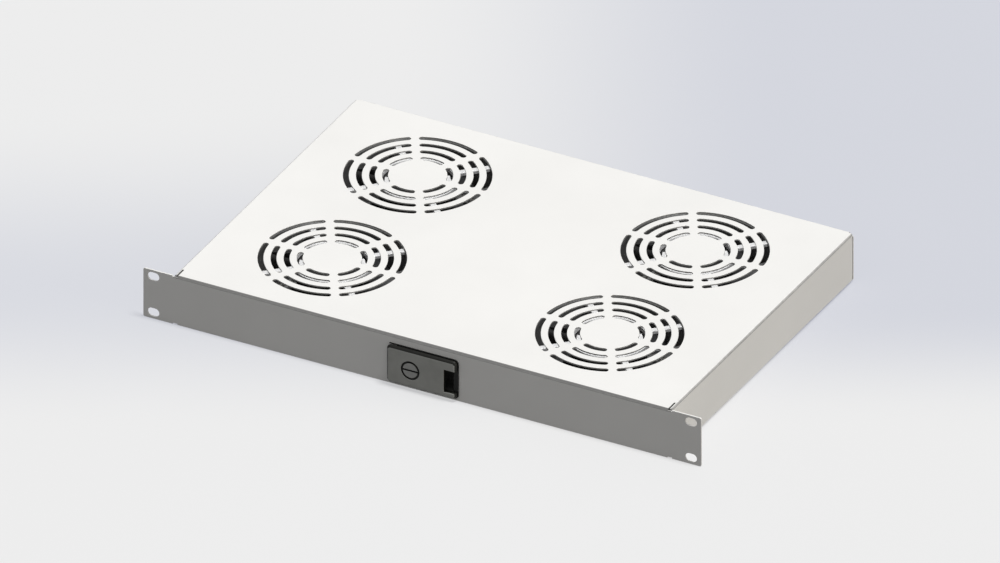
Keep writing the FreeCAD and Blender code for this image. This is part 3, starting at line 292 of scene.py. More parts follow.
class Surface:
    """Collects faces with a normal at each corner, so that flats stay flat beside their rounds.

    Edges where the normals of the two faces disagree are marked sharp.
    """

    def __init__(self):
        self.points, self.faces, self.normals, self.index = [], [], [], {}

    def corner(self, point):
        key = (round(point[0], 4), round(point[1], 4), round(point[2], 4))
        if key not in self.index:
            self.index[key] = len(self.points)
            self.points.append(Vector(key) * MM)
        return self.index[key]

    def face(self, corners, normals):
        """A face with one normal for each corner, or one for all. Corners that fall together are merged."""
        if isinstance(normals, Vector):
            normals = [normals] * len(corners)
        ids = [self.corner(p) for p in corners]
        keep = [i for i in range(len(ids)) if ids[i] != ids[i - 1]]
        if len(keep) < 3 or len({ids[i] for i in keep}) < len(keep):
            return
        area = Vector()
        first = Vector(corners[keep[0]])
        for i, j in zip(keep[1:], keep[2:]):
            area += (Vector(corners[i]) - first).cross(Vector(corners[j]) - first)
        if area.dot(sum((normals[i] for i in keep), Vector())) < 0:
            keep.reverse()
        self.faces.append([ids[i] for i in keep])
        self.normals.extend(normals[i].normalized() for i in keep)

    def piece(self, name, material, body, place=None):
        mesh = bpy.data.meshes.new(name)
        mesh.from_pydata(self.points, [], self.faces)
        ends = {}
        corner = 0
        for face in self.faces:
            count = len(face)
            for i in range(count):
                a, b = face[i], face[(i + 1) % count]
                pair = [self.normals[corner + i], self.normals[corner + (i + 1) % count]]
                ends.setdefault((min(a, b), max(a, b)), []).append(pair if a < b else pair[::-1])
            corner += count
        for edge in mesh.edges:
            met = ends[tuple(sorted(edge.vertices))]
            edge.use_edge_sharp = len(met) != 2 or min(met[0][k].dot(met[1][k]) for k in (0, 1)) < 0.999
        mesh.polygons.foreach_set("use_smooth", [True] * len(mesh.polygons))
        mesh.normals_split_custom_set(self.normals)
        mesh.materials.append(MATERIALS[material])
        return show(name, mesh, body, place)


def show(name, mesh, body, place=None):
    """The visible piece with this mesh, riding a body and in its material's slot."""
    piece = bpy.data.objects.new(name, mesh)
    bpy.context.scene.collection.objects.link(piece)
    if place is not None:
        piece.location = Vector(place) * MM
    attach(piece, body)
    return piece


class Plane:
    """Turns flat coordinates (u, v) and a height w above the plane into the frame's own."""

    def __init__(self, origin, u, v):
        self.origin, self.u, self.v, self.w = Vector(origin), u, v, u.cross(v)

    def at(self, p, height):
        return self.origin + self.u * p[0] + self.v * p[1] + self.w * height

    def way(self, n, rise):
        return self.u * n[0] + self.v * n[1] + self.w * rise


def arc(centre, radius, start, end, steps):
    """Points on an arc, its angles in degrees, both ends included."""
    points = []
    for i in range(steps + 1):
        angle = math.radians(start + (end - start) * i / steps)
        points.append((centre[0] + radius * math.cos(angle), centre[1] + radius * math.sin(angle)))
    return points


def circle(centre, radius, steps):
    return arc(centre, radius, 0, 360, steps)[:-1]


def rectangle(x0, x1, y0, y1, radius=0.0, steps=5):
    """A rectangle, its corners rounded where a radius is given."""
    if not radius:
        return [(x0, y0), (x1, y0), (x1, y1), (x0, y1)]
    points = []
    for cx, cy, start in (
        (x1 - radius, y0 + radius, -90),
        (x1 - radius, y1 - radius, 0),
        (x0 + radius, y1 - radius, 90),
        (x0 + radius, y0 + radius, 180),
    ):
        points += arc((cx, cy), radius, start, start + 90, steps)
    return points


def slot_outline(length, width, x, y, steps=8):
    """A slot with round ends."""
    reach = (length - width) / 2
    return arc((x + reach, y), width / 2, -90, 90, steps) + arc((x - reach, y), width / 2, 90, 270, steps)


def edge_normals(loop):
    """For each edge of a loop with material on its left, the flat normal that points away from the material."""
    normals = []
    for (x0, y0), (x1, y1) in zip(loop, loop[1:] + loop[:1]):
        length = math.hypot(x1 - x0, y1 - y0)
        normals.append(((y1 - y0) / length, -(x1 - x0) / length))
    return normals


def inset(loop, normals, distances):
    """The loop moved into the material, each edge by its own distance."""
    moved = []
    for i, (x, y) in enumerate(loop):
        (ax, ay), (bx, by) = normals[i - 1], normals[i]
        da, db = distances[i - 1], distances[i]
        cross = ax * by - ay * bx
        if abs(cross) < 0.02:
            d = (da + db) / 2
            moved.append((x - ax * d, y - ay * d))
        else:
            moved.append((x - (da * by - db * ay) / cross, y - (db * ax - da * bx) / cross))
    return moved


def counter_clockwise(loop):
    area = sum(x0 * y1 - x1 * y0 for (x0, y0), (x1, y1) in zip(loop, loop[1:] + loop[:1]))
    return loop if area > 0 else loop[::-1]


def fill(surface, plane, loops, height, facing):
    """A flat face with holes."""
    corners = [p for loop in loops for p in loop]
    for triangle in tessellate_polygon([[Vector((x, y, 0)) for x, y in loop] for loop in loops]):
        surface.face([plane.at(corners[i], height) for i in triangle], plane.w * facing)


def plate(surface, plane, outer, holes, thickness, edge=0.0, under_edge=0.0, joined=(), steps=2, crisp=()):
    """A plate with its top on the plane and rounded edges.

    The outer edges in joined are not rounded at all, and those in crisp only a little. Holes are crisp where
    the outer edge has a large radius. Each ring is an inset, a height, the lean of its normals, and its side.
    """
    loops = [counter_clockwise(outer)] + [counter_clockwise(hole)[::-1] for hole in holes]
    tops, bottoms = [], []
    for n, loop in enumerate(loops):
        normals = edge_normals(loop)
        free = [1.0 if edge < 1 else CRISP] * len(loop)
        if n == 0:
            free = [0.0 if i in joined else CRISP if i in crisp else 1.0 for i in range(len(loop))]
        rings = []
        for k in range(steps + 1 if edge else 1):
            t = math.pi / 2 * k / steps if edge else math.pi / 2
            rings.append((edge * (1 - math.sin(t)), -edge * (1 - math.cos(t)) if edge else 0.0, t, 1))
        for k in range(steps if under_edge else 0, -1, -1):
            t = math.pi / 2 * k / steps if under_edge else math.pi / 2
            drop = under_edge * (1 - math.cos(t)) if under_edge else 0.0
            rings.append((under_edge * (1 - math.sin(t)), drop - thickness, t, -1))
        placed = [inset(loop, normals, [depth * f for f in free]) for depth, _, _, _ in rings]
        count = len(loop)
        for (p0, (_, h0, t0, s0)), (p1, (_, h1, t1, s1)) in zip(
            zip(placed, rings), zip(placed[1:], rings[1:])
        ):
            for i in range(count):
                j = (i + 1) % count
                here = normals[i]
                ends = []
                for other in (normals[i - 1], normals[j]):
                    if here[0] * other[0] + here[1] * other[1] > SMOOTH:
                        ends.append(((here[0] + other[0]) / 2, (here[1] + other[1]) / 2))
                    else:
                        ends.append(here)
                lean = free[i] if n == 0 or edge >= 1 else 1.0
                ways = []
                for end, t, side in ((ends[0], t0, s0), (ends[1], t0, s0), (ends[1], t1, s1), (ends[0], t1, s1)):
                    ways.append(plane.way([c * math.sin(t) for c in end], side * lean * math.cos(t)))
                corners = [plane.at(p0[i], h0), plane.at(p0[j], h0), plane.at(p1[j], h1), plane.at(p1[i], h1)]
                surface.face(corners, ways)
        tops.append(placed[0])
        bottoms.append(placed[-1])
    fill(surface, plane, tops, 0.0, 1)
    fill(surface, plane, bottoms, -thickness, -1)


def bend_path(start, corner, end, radius, steps=8):
    """Points with normals along an outside path with one right-angled bend, ready for folded()."""
    a = (Vector(start) - Vector(corner)).normalized()
    b = (Vector(end) - Vector(corner)).normalized()
    centre = Vector(corner) + (a + b) * radius
    path = [(Vector(start), -b)]
    for i in range(steps + 1):
        angle = math.pi / 2 * i / steps
        normal = -b * math.cos(angle) - a * math.sin(angle)
        path.append((centre + normal * radius, normal))
    path.append((Vector(end), -a))
    return path


def folded(surface, path, thickness, sweep):
    """A folded strip: an outside path with normals, pushed along a vector."""
    sweep = Vector(sweep)
    along = sweep.normalized()
    inner = [p - n * thickness for p, n in path]
    for i in range(len(path) - 1):
        (p0, n0), (p1, n1) = path[i], path[i + 1]
        q0, q1 = inner[i], inner[i + 1]
        surface.face([p0, p1, p1 + sweep, p0 + sweep], [n0, n1, n1, n0])
        surface.face([q0, q1, q1 + sweep, q0 + sweep], [-n0, -n1, -n1, -n0])
        surface.face([p0, p1, q1, q0], -along)
        surface.face([p0 + sweep, p1 + sweep, q1 + sweep, q0 + sweep], along)
    for k, m in ((0, 1), (-1, -2)):
        outward = (path[k][0] - path[m][0]).normalized()
        surface.face([path[k][0], path[k][0] + sweep, inner[k] + sweep, inner[k]], outward)


def lathe(surface, plane, profile, steps=48, centre=(0, 0)):
    """A profile of (radius, height) turned about the plane's own normal. Corners over forty degrees stay sharp."""
    spans = []
    for (r0, h0), (r1, h1) in zip(profile, profile[1:]):
        length = math.hypot(r1 - r0, h1 - h0)
        spans.append(((h1 - h0) / length, -(r1 - r0) / length))
    for i, ((r0, h0), (r1, h1)) in enumerate(zip(profile, profile[1:])):
        ends = []
        for k in (i - 1, i + 1):
            other = spans[k] if 0 <= k < len(spans) else spans[i]
            if spans[i][0] * other[0] + spans[i][1] * other[1] > SMOOTH:
                ends.append(((spans[i][0] + other[0]) / 2, (spans[i][1] + other[1]) / 2))
            else:
                ends.append(spans[i])
        for j in range(steps):
            start, end = (r0, h0, ends[0]), (r1, h1, ends[1])
            corners, normals = [], []
            for (r, h, (nr, nh)), k in ((start, j), (start, j + 1), (end, j + 1), (end, j)):
                angle = TAU * (k % steps) / steps
                c, s = math.cos(angle), math.sin(angle)
                corners.append(plane.at((centre[0] + r * c, centre[1] + r * s), h))
                normals.append(plane.way((nr * c, nr * s), nh))
            surface.face(corners, normals)


def soften(points, radius, steps=3):
    """The polyline with its inner corners rounded."""
    points = [Vector(p) for p in points]
    softened = [points[0]]
    for before, corner, after in zip(points, points[1:], points[2:]):
        back, ahead = before - corner, after - corner
        a = corner + back.normalized() * min(radius, back.length / 2)
        b = corner + ahead.normalized() * min(radius, ahead.length / 2)
        for i in range(steps + 1):
            t = i / steps
            point = a * (1 - t) ** 2 + corner * 2 * t * (1 - t) + b * t ** 2
            if (point - softened[-1]).length > 0.01:
                softened.append(point)
    softened.append(points[-1])
    return softened


def cross_outline(centre, reach, width):
    """A cross recess, its arms tapered."""
    points = []
    for k in range(4):
        c, s = math.cos(TAU * k / 4), math.sin(TAU * k / 4)
        for along, across in ((width / 2, -width / 2), (reach, -width / 3), (reach, width / 3)):
            points.append((centre[0] + along * c - across * s, centre[1] + along * s + across * c))
    return points


def screw(surface, plane, centre, head_r, head_h, shank_r, length):
    """A low-headed screw with a cross recess, seated on the plane."""
    raised = Plane(plane.at((0, 0), head_h), plane.u, plane.v)
    recess = cross_outline(centre, head_r * 0.56, head_r * 0.3)
    plate(surface, raised, circle(centre, head_r, 28), [recess], head_h, head_h * 0.6, 0.0, (), 4)
    fill(surface, raised, [recess], -head_h * 0.75, 1)
    shank = [(0.0, -length), (shank_r * 0.7, -length), (shank_r, 0.6 - length), (shank_r, 0.0)]
    lathe(surface, plane, shank, 14, centre)


def block(surface, low, high, edge=0.25, turn=0.0, about=(0, 0)):
    """A box with rounded upper edges, turned about a vertical line."""
    u = Vector((math.cos(turn), math.sin(turn), 0))
    plane = Plane(Vector((about[0], about[1], high[2])), u, Z.cross(u))
    outline = rectangle(low[0], high[0], low[1], high[1])
    plate(surface, plane, outline, [], high[2] - low[2], edge, edge)


# ---------------------------------------------------------------- stage
# Sizes in metres. The floor is turned with the view, so that its cool band runs level across the picture.

FLOOR_SIZE = 4.0
# The last floor colour is a painted shadow under the tray; the tray's footprint and the soft edge of that shadow
# follow below.
FLOOR_COLOUR, FLOOR_COOL, FLOOR_PAINTED_SHADOW = (0.86, 0.86, 0.862), (0.56, 0.585, 0.68), (0.03, 0.03, 0.03)
FLOOR_GLOW = 0.62
SHADOW_UNDER_TRAY, SHADOW_FADE = (("X", -0.214, 0.214), ("Y", 0.002, 0.298)), 0.008
VIEW_TURN, VIEW_TILT = math.radians(27.82), math.radians(30.857)
VIEW_WIDTH = 0.7651
VIEW_SHIFT = (0.05952, 0.08396)
KEY, KEY_STRENGTH, KEY_ANGLE = (0.63, 0.04, 2.4), 2.48, 12
FILL, FILL_STRENGTH, FILL_ANGLE, FILL_COLOUR = (1.0, 0.0, 0.03), 0.84, 20, (1, 0.9, 0.73)
WORLD_STRENGTH = 0.33


def make_floor(level):
    """A pale floor that throws little light on the part.

    It is cooler in a soft band across and behind on the right, and carries a painted shadow under the tray, where
    the intakes would show the floor from above.
    """
    size = FLOOR_SIZE
    mesh = bpy.data.meshes.new("floor")
    corners = [(-size, -size, 0), (size, -size, 0), (size, size, 0), (-size, size, 0)]
    mesh.from_pydata(corners, [], [(0, 1, 2, 3)])
    floor = bpy.data.objects.new("floor", mesh)
    bpy.context.scene.collection.objects.link(floor)
    floor.location = (0, 0, level)
    floor.rotation_euler = (0, 0, VIEW_TURN)
    material, tree, shader = new_material("floor")
    place = axes(tree)

    def soft(axis, start, end, low=0.0, high=1.0):
        result = ramp(tree, place[axis], low, high, start, end)
        result.node.interpolation_type = "SMOOTHSTEP"
        return result

    band = pick(tree, "MINIMUM", soft("Y", -0.06, 0.15, 0.0, 0.8), soft("Y", 0.15, 0.42, 0.8, 0.0))
    corner = pick(tree, "MINIMUM", soft("X", -0.04, 0.28), soft("Y", -0.05, 0.13))
    glow = blend(tree, pick(tree, "MAXIMUM", band, corner), FLOOR_COLOUR, FLOOR_COOL)
    world = tree.nodes.new("ShaderNodeSeparateXYZ")
    tree.links.new(tree.nodes.new("ShaderNodeNewGeometry").outputs["Position"], world.inputs["Vector"])
    # The painted shadow under the tray's footprint, with soft edges.
    under = []
    for axis, low, high in SHADOW_UNDER_TRAY:
        under.append(ramp(tree, world.outputs[axis], 0, 1, low, low + SHADOW_FADE))
        under.append(ramp(tree, world.outputs[axis], 1, 0, high - SHADOW_FADE, high))
    sides, ends = pick(tree, "MINIMUM", *under[:2]), pick(tree, "MINIMUM", *under[2:])
    glow = blend(tree, pick(tree, "MINIMUM", sides, ends), glow, FLOOR_PAINTED_SHADOW)
    paint = blend(tree, ramp(tree, noise(tree, 1.5), 0, 1), (0.28, 0.28, 0.28), (0.29, 0.29, 0.29))
    tree.links.new(paint, shader.inputs["Base Color"])
    tree.links.new(glow, shader.inputs["Emission Color"])
    shader.inputs["Emission Strength"].default_value = FLOOR_GLOW
    shader.inputs["Roughness"].default_value = 1.0
    shader.inputs["Specular IOR Level"].default_value = 0.0
    bounce = tree.nodes.new("ShaderNodeBsdfDiffuse")
    bounce.inputs["Color"].default_value = (0.1, 0.1, 0.1, 1)
    mix = tree.nodes.new("ShaderNodeMixShader")
    path = tree.nodes.new("ShaderNodeLightPath")
    seen = pick(tree, "MAXIMUM", path.outputs["Is Camera Ray"], path.outputs["Is Glossy Ray"])
    seen = pick(tree, "MAXIMUM", seen, path.outputs["Is Transmission Ray"])
    tree.links.new(seen, mix.inputs["Fac"])
    tree.links.new(bounce.outputs["BSDF"], mix.inputs[1])
    tree.links.new(shader.outputs["BSDF"], mix.inputs[2])
    tree.links.new(mix.outputs["Shader"], tree.nodes["Material Output"].inputs["Surface"])
    mesh.materials.append(material)


def sun(name, direction, strength, angle, colour=(1, 1, 1)):
    """A lamp that shines from a direction, softer with a larger angle in degrees."""
    light = bpy.data.lights.new(name, "SUN")
    light.energy = strength
    light.color = colour
    light.angle = math.radians(angle)
    lamp = bpy.data.objects.new(name, light)
    bpy.context.scene.collection.objects.link(lamp)
    lamp.rotation_euler = Vector(direction).to_track_quat("Z", "Y").to_euler()
    return lamp


def share(lamp, kind, pieces, state):
    """Says which pieces a lamp lights (receiver), or which ones can block it (blocker)."""
    group = bpy.data.collections.new(f"{lamp.name}_{kind}")
    for piece in pieces:
        group.objects.link(piece)
    for entry in group.collection_objects:
        entry.light_linking.link_state = state
    setattr(lamp.light_linking, f"{kind}_collection", group)


def make_world(strength):
    """Even white light from all round."""
    world = bpy.data.worlds.new("studio")
    world.use_nodes = True
    bpy.context.scene.world = world
    world.node_tree.nodes["Background"].inputs["Color"].default_value = (1, 1, 1, 1)
    world.node_tree.nodes["Background"].inputs["Strength"].default_value = strength


def make_camera():
    """A parallel view from the front right, above."""
    turn, tilt = VIEW_TURN, VIEW_TILT
    right = Vector((math.cos(turn), math.sin(turn), 0))
    toward = Vector((math.sin(turn) * math.cos(tilt), -math.cos(turn) * math.cos(tilt), math.sin(tilt)))
    up = toward.cross(right)
    low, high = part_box("top_cover")
    foot = Vector((0, low[1], low[2]))
    target = foot + right * VIEW_SHIFT[0] + up * VIEW_SHIFT[1]
    data = bpy.data.cameras.new("camera")
    data.type = "ORTHO"
    data.ortho_scale = VIEW_WIDTH
    data.clip_end = 20
    camera = bpy.data.objects.new("camera", data)
    bpy.context.scene.collection.objects.link(camera)
    view = Matrix((right, up, toward)).transposed().to_4x4()
    camera.matrix_world = Matrix.Translation(target + toward * 3) @ view
    bpy.context.scene.camera = camera


# ---------------------------------------------------------------- sheet metal

SHEET = 1.2
BEND = 1.6
EDGE = 0.22
FANS = [(x, y) for y in (80.0, 220.0) for x in (-120.0, 120.0)]

GRILLE_RADII = (25.0, 35.0, 45.0, 55.0)
GRILLE_ARCS = 6
GRILLE_SLOT, GRILLE_WEB = 4.5, 6.0

BODY_HALF = 215.0
FRONT_HALF = 211.85
RELIEF_HALF, RELIEF_DEPTH = 216.05, 0.9
RELIEF_END = 11.5
SIDE_GAP = 2.2
SIDE_FOOT, REAR_FOOT = -19.5, -19.9
CORNER = 1.5
RACK_SLOTS = [(x, z) for x in (-232.55, 232.55) for z in (-15.875, 15.875)]
RACK_SLOT_SIZE = (10.0, 7.0)
REAR_SCREW_X, REAR_SCREW_Z = (-180.0, -95.0, 95.0, 180.0), -12.1
LATCH_OPENING = (-27.4, 29.4, -15.9, 10.9)
INLET_OPENING = (-13.7, 13.7, -8.9, 10.9)


def grille_outlines(x, y):
    """The curved slots over one fan: rings of arcs with round ends, and webs between them."""
    outlines = []
    half, turn = GRILLE_SLOT / 2, 360 // GRILLE_ARCS
    for radius in GRILLE_RADII:
        margin = math.degrees((GRILLE_WEB + GRILLE_SLOT) / 2 / radius)
        for k in range(GRILLE_ARCS):
            start, end = turn * k + margin, turn * (k + 1) - margin
            steps = math.ceil((end - start) / 4)
            points = arc((x, y), radius + half, start, end, steps)
            tip = arc((x, y), radius, end, end, 1)[0]
            points += arc(tip, half, end, end + 180, 8)[1:-1]
            points += arc((x, y), radius - half, end, start, steps)
            tip = arc((x, y), radius, start, start, 1)[0]
            points += arc(tip, half, start + 180, start + 360, 8)[1:-1]
            outlines.append(points)
    return outlines


def make_cover():
    """The folded cover: top, side walls, front panel with its ears, and rear wall."""
    low, high = (Vector(p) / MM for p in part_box("top_cover"))
    top, bottom, rear = high.z, low.z, high.y
    lip = BODY_HALF - BEND
    side_end = rear - SIDE_GAP
    cover = Surface()

    outline = [
        (-FRONT_HALF, BEND), (FRONT_HALF, BEND), (FRONT_HALF, RELIEF_END), (lip, RELIEF_END),
        (lip, side_end), (FRONT_HALF, side_end), (FRONT_HALF, rear - BEND), (-FRONT_HALF, rear - BEND),
        (-FRONT_HALF, side_end), (-lip, side_end), (-lip, RELIEF_END), (-FRONT_HALF, RELIEF_END),
    ]
    holes = [hole for x, y in FANS for hole in grille_outlines(x, y)]
    plate(cover, Plane((0, 0, top), X, Y), outline, holes, SHEET, EDGE, 0.0, range(len(outline)))
    for s in (-1, 1):
        wall_end = (s * BODY_HALF, 0, SIDE_FOOT)
        wall = bend_path((s * lip, 0, top), (s * BODY_HALF, 0, top), wall_end, BEND)[1:]
        folded(cover, [(p + Y * RELIEF_END, n) for p, n in wall], SHEET, (0, side_end - RELIEF_END, 0))
        folded(cover, [(p + Y * BEND, n) for p, n in wall], SHEET, (0, RELIEF_END - BEND, 0))
    for y, inner in ((0, BEND), (rear, rear - BEND)):
        bend = bend_path((0, inner, top), (0, y, top), (0, y, top - BEND), BEND)[1:-1]
        folded(cover, [(p - X * FRONT_HALF, n) for p, n in bend], SHEET, (2 * FRONT_HALF, 0, 0))

    half = high.x - CORNER
    relief = top - RELIEF_DEPTH
    outline = []
    for x, z, start in ((half, bottom + CORNER, -90), (half, top - CORNER, 0)):
        outline += arc((x, z), CORNER, start, start + 90, 5)
    outline += [(RELIEF_HALF, top), (RELIEF_HALF, relief), (FRONT_HALF, relief), (FRONT_HALF, top - BEND)]
    joint = len(outline) - 1
    outline += [(-FRONT_HALF, top - BEND), (-FRONT_HALF, relief), (-RELIEF_HALF, relief), (-RELIEF_HALF, top)]
    for x, z, start in ((-half, top - CORNER, 90), (-half, bottom + CORNER, 180)):
        outline += arc((x, z), CORNER, start, start + 90, 5)
    relief = bottom + RELIEF_DEPTH
    for x0, x1 in ((-RELIEF_HALF, -FRONT_HALF), (FRONT_HALF, RELIEF_HALF)):
        outline += [(x0, bottom), (x0, relief), (x1, relief), (x1, bottom)]
    holes = [slot_outline(*RACK_SLOT_SIZE, x, z, 12) for x, z in RACK_SLOTS]
    holes.append(rectangle(*LATCH_OPENING))
    plate(cover, Plane((0, 0, 0), X, Z), outline, holes, SHEET, EDGE, EDGE, (joint,))

    shoulder = top - 3
    outline = [(-BODY_HALF, REAR_FOOT), (BODY_HALF, REAR_FOOT), (BODY_HALF, shoulder), (FRONT_HALF, shoulder)]
    joint = len(outline)
    outline += [(FRONT_HALF, top - BEND), (-FRONT_HALF, top - BEND), (-FRONT_HALF, shoulder), (-BODY_HALF, shoulder)]
    holes = [rectangle(*INLET_OPENING)]
    holes += [circle((x, REAR_SCREW_Z), 1.8, 16) for x in REAR_SCREW_X]
    plate(cover, Plane((0, rear, 0), -X, Z), outline, holes, SHEET, EDGE, 0.0, (joint,))
    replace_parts(cover.piece("cover_sheet", "cover_paint", "tray"), "top_cover")


make_cover()

PAN_HALF, PAN_FRONT, PAN_REAR = 213.5, 1.8, 298.8
PAN_FLOOR, RIM_TOP = -19.9, -6.7
RIM_CUT = 5.0
LATCH_GAP, INLET_GAP = 46.0, 30.0
INTAKE = 56.0
SCREW_REACH = 52.5
SCREW_PLACES = [(x + s * SCREW_REACH, y + t * SCREW_REACH) for x, y in FANS for s in (-1, 1) for t in (-1, 1)]


def make_pan():
    """The base pan with an intake below each fan, and the screws that hold the fans and the pan."""
    pan = Surface()
    floor = Plane((0, 0, PAN_FLOOR), -X, Y)
    half, front, rear = PAN_HALF - BEND, PAN_FRONT + BEND, PAN_REAR - BEND
    holes = [circle((-x, y), INTAKE, 72) for x, y in FANS]
    holes += [circle((-x, y), 2.3, 12) for x, y in SCREW_PLACES]
    plate(pan, floor, rectangle(-half, half, front, rear), holes, SHEET, EDGE, 0.0, range(4))
    for s in (-1, 1):
        side = s * PAN_HALF
        rim = bend_path((s * half, 0, PAN_FLOOR), (side, 0, PAN_FLOOR), (side, 0, RIM_TOP), BEND)[1:]
        folded(pan, [(p + Y * front, n) for p, n in rim], SHEET, (0, rear - front, 0))
    for y, inner, gap in ((PAN_FRONT, front, LATCH_GAP), (PAN_REAR, rear, INLET_GAP)):
        rim = bend_path((0, inner, PAN_FLOOR), (0, y, PAN_FLOOR), (0, y, RIM_TOP), BEND)[1:]
        for start in (RIM_CUT - half, gap):
            folded(pan, [(p + X * start, n) for p, n in rim], SHEET, (half - RIM_CUT - gap, 0, 0))
    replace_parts(pan.piece("pan_sheet", "pan_steel", "tray"), "base_pan")

    screws = Surface()
    for x, y in SCREW_PLACES:
        screw(screws, floor, (-x, y), 3.8, 1.1, 2.0, 7.9)
    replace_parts(screws.piece("fan_screw_set", "screw_steel", "tray"), "fan_screws")
    screws = Surface()
    for x in REAR_SCREW_X:
        screw(screws, Plane((0, 300.0, 0), -X, Z), (-x, REAR_SCREW_Z), 2.9, 1.8, 1.5, 7.2)
    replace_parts(screws.piece("rear_screw_set", "screw_steel", "tray"), "rear_screws")


make_pan()

# ---------------------------------------------------------------- fans

FAN_BASE, FAN_TOP = -18.7, 19.3
FAN_HALF, FLANGE = 59.5, 5.0
BORE = 57.5
LEAD_ANGLES = [-110.0, -12.0, -10.0, -110.0]
CUP_R, CUP_WALL_R = 31.5, 28.0
CUP_TOP, CUP_FLOOR, CUP_WELL = 18.5, 12.3, 13.5
TUBE_R, TUBE_BORE, TUBE_END = 5.0, 3.4, -7.7
HUB_R, HUB_WALL_R, HUB_FLOOR = 30.0, 28.0, 2.0
HUB_LOW, HUB_HIGH = -13.7, 11.3
BLADES = 5
BLADE_SPANS = 7
BLADE_ROOT, BLADE_TIP = 29.0, 56.2
BLADE_PITCH, BLADE_TWIST, BLADE_SWEEP = 46.0, 20.0, 12.0
BLADE_HALF_T, BLADE_CAMBER = 0.9, 2.6


def make_frame(lead_angle):
    """A barrel between two square flanges, with the arm for the lead's terminals."""
    casting = Surface()
    low, high = FAN_BASE + FLANGE, FAN_TOP - FLANGE
    outline = rectangle(-FAN_HALF, FAN_HALF, -FAN_HALF, FAN_HALF, 3.5, 6)
    holes = [circle((0, 0), BORE, 72)]
    holes += [circle((x, y), 2.2, 14) for x in (-SCREW_REACH, SCREW_REACH) for y in (-SCREW_REACH, SCREW_REACH)]
    for plane in (Plane((0, 0, FAN_TOP), X, Y), Plane((0, 0, FAN_BASE), -X, Y)):
        plate(casting, plane, outline, holes, FLANGE, 0.7, 0.5, (), 3)
    middle = Plane((0, 0, 0), X, Y)
    lathe(casting, middle, [(59.3, low), (59.3, high)], 72)
    lathe(casting, middle, [(BORE, high), (BORE, low)], 72)
    block(casting, (40.0, -4.0, 14.5), (58.3, 4.0, 17.5), 0.6, math.radians(lead_angle))
    return casting


def make_bracket():
    """Struts, cup, lugs and bearing tube."""
    bracket = Surface()
    profile = [(TUBE_BORE, 12.9), (TUBE_BORE, TUBE_END), (TUBE_R, TUBE_END), (TUBE_R, CUP_FLOOR)]
    profile += [(CUP_R, CUP_FLOOR), (CUP_R, CUP_TOP), (CUP_WALL_R, CUP_TOP), (CUP_WALL_R, CUP_WELL), (0.0, CUP_WELL)]
    lathe(bracket, Plane((0, 0, 0), X, Y), [(p.x, p.y) for p in soften(profile, 0.5)], 64)
    for k in range(4):
        block(bracket, (30.5, -2.5, 15.5), (57.3, 2.5, CUP_TOP), 0.5, math.radians(45 + 90 * k))
    for start in (15, 195):
        lug = arc((0, 0), 25.5, start, start + 30, 6) + arc((0, 0), 22.0, start + 30, start, 6)
        plate(bracket, Plane((0, 0, 16.8), X, Y), lug, [], 3.3, 0.5)
    return bracket


def blade_section(share, steps=8):
    """One closed section of a blade with its points, at a share of the span."""
    radius = BLADE_ROOT + (BLADE_TIP - BLADE_ROOT) * share
    pitch = math.radians(BLADE_PITCH - BLADE_TWIST * share)
    chord = (HUB_HIGH - HUB_LOW - 6.0) / math.sin(pitch)
    middle = (HUB_LOW + HUB_HIGH) / 2 + 0.9
    loop = []
    for side in (1, -1):
        for i in range(steps + 1):
            along = side * 0.5 * math.cos(math.pi * i / steps)
            thick = BLADE_HALF_T * (1 - 0.7 * (2 * abs(along)) ** 3)
            across = side * thick - BLADE_CAMBER * (1 - 4 * along * along)
            angle = math.radians(BLADE_SWEEP) * share
            angle += (along * chord * math.cos(pitch) - across * math.sin(pitch)) / radius
            height = middle + along * chord * math.sin(pitch) + across * math.cos(pitch)
            loop.append(Vector((radius * math.cos(angle), radius * math.sin(angle), height)))
    return loop


def make_impeller():
    """The hub with its blades, lofted from section to section."""
    impeller = Surface()
    floor = HUB_LOW + HUB_FLOOR
    profile = [(0.0, HUB_LOW), (HUB_R, HUB_LOW), (HUB_R, HUB_HIGH), (HUB_WALL_R, HUB_HIGH)]
    profile += [(HUB_WALL_R, floor), (0.0, floor)]
    lathe(impeller, Plane((0, 0, 0), X, Y), [(p.x, p.y) for p in soften(profile, 1.0)], 64)
    sections = [blade_section(i / BLADE_SPANS) for i in range(BLADE_SPANS + 1)]
    count = len(sections[0])
    normals = []
    for i, loop in enumerate(sections):
        inner, outer = sections[max(i - 1, 0)], sections[min(i + 1, BLADE_SPANS)]
        row = []
        for j in range(count):
            around = loop[(j + 1) % count] - loop[j - 1]
            row.append(around.cross(outer[j] - inner[j]).normalized())
        normals.append(row)
    if normals[3][4].z < 0:
        normals = [[-n for n in row] for row in normals]
    for k in range(BLADES):
        turn = Matrix.Rotation(TAU * k / BLADES, 3, "Z")
        for i in range(BLADE_SPANS):
            for j in range(count):
                m = (j + 1) % count
                around = ((i, j), (i, m), (i + 1, m), (i + 1, j))
                corners = [turn @ sections[a][b] for a, b in around]
                impeller.face(corners, [turn @ normals[a][b] for a, b in around])
        tip = [turn @ p for p in sections[-1]]
        outward = turn @ sections[-1][4]
        outward.z = 0
        for j in range(count // 2 - 1):
            impeller.face([tip[j], tip[j + 1], tip[count - 2 - j], tip[count - 1 - j]], outward.normalized())
    return impeller


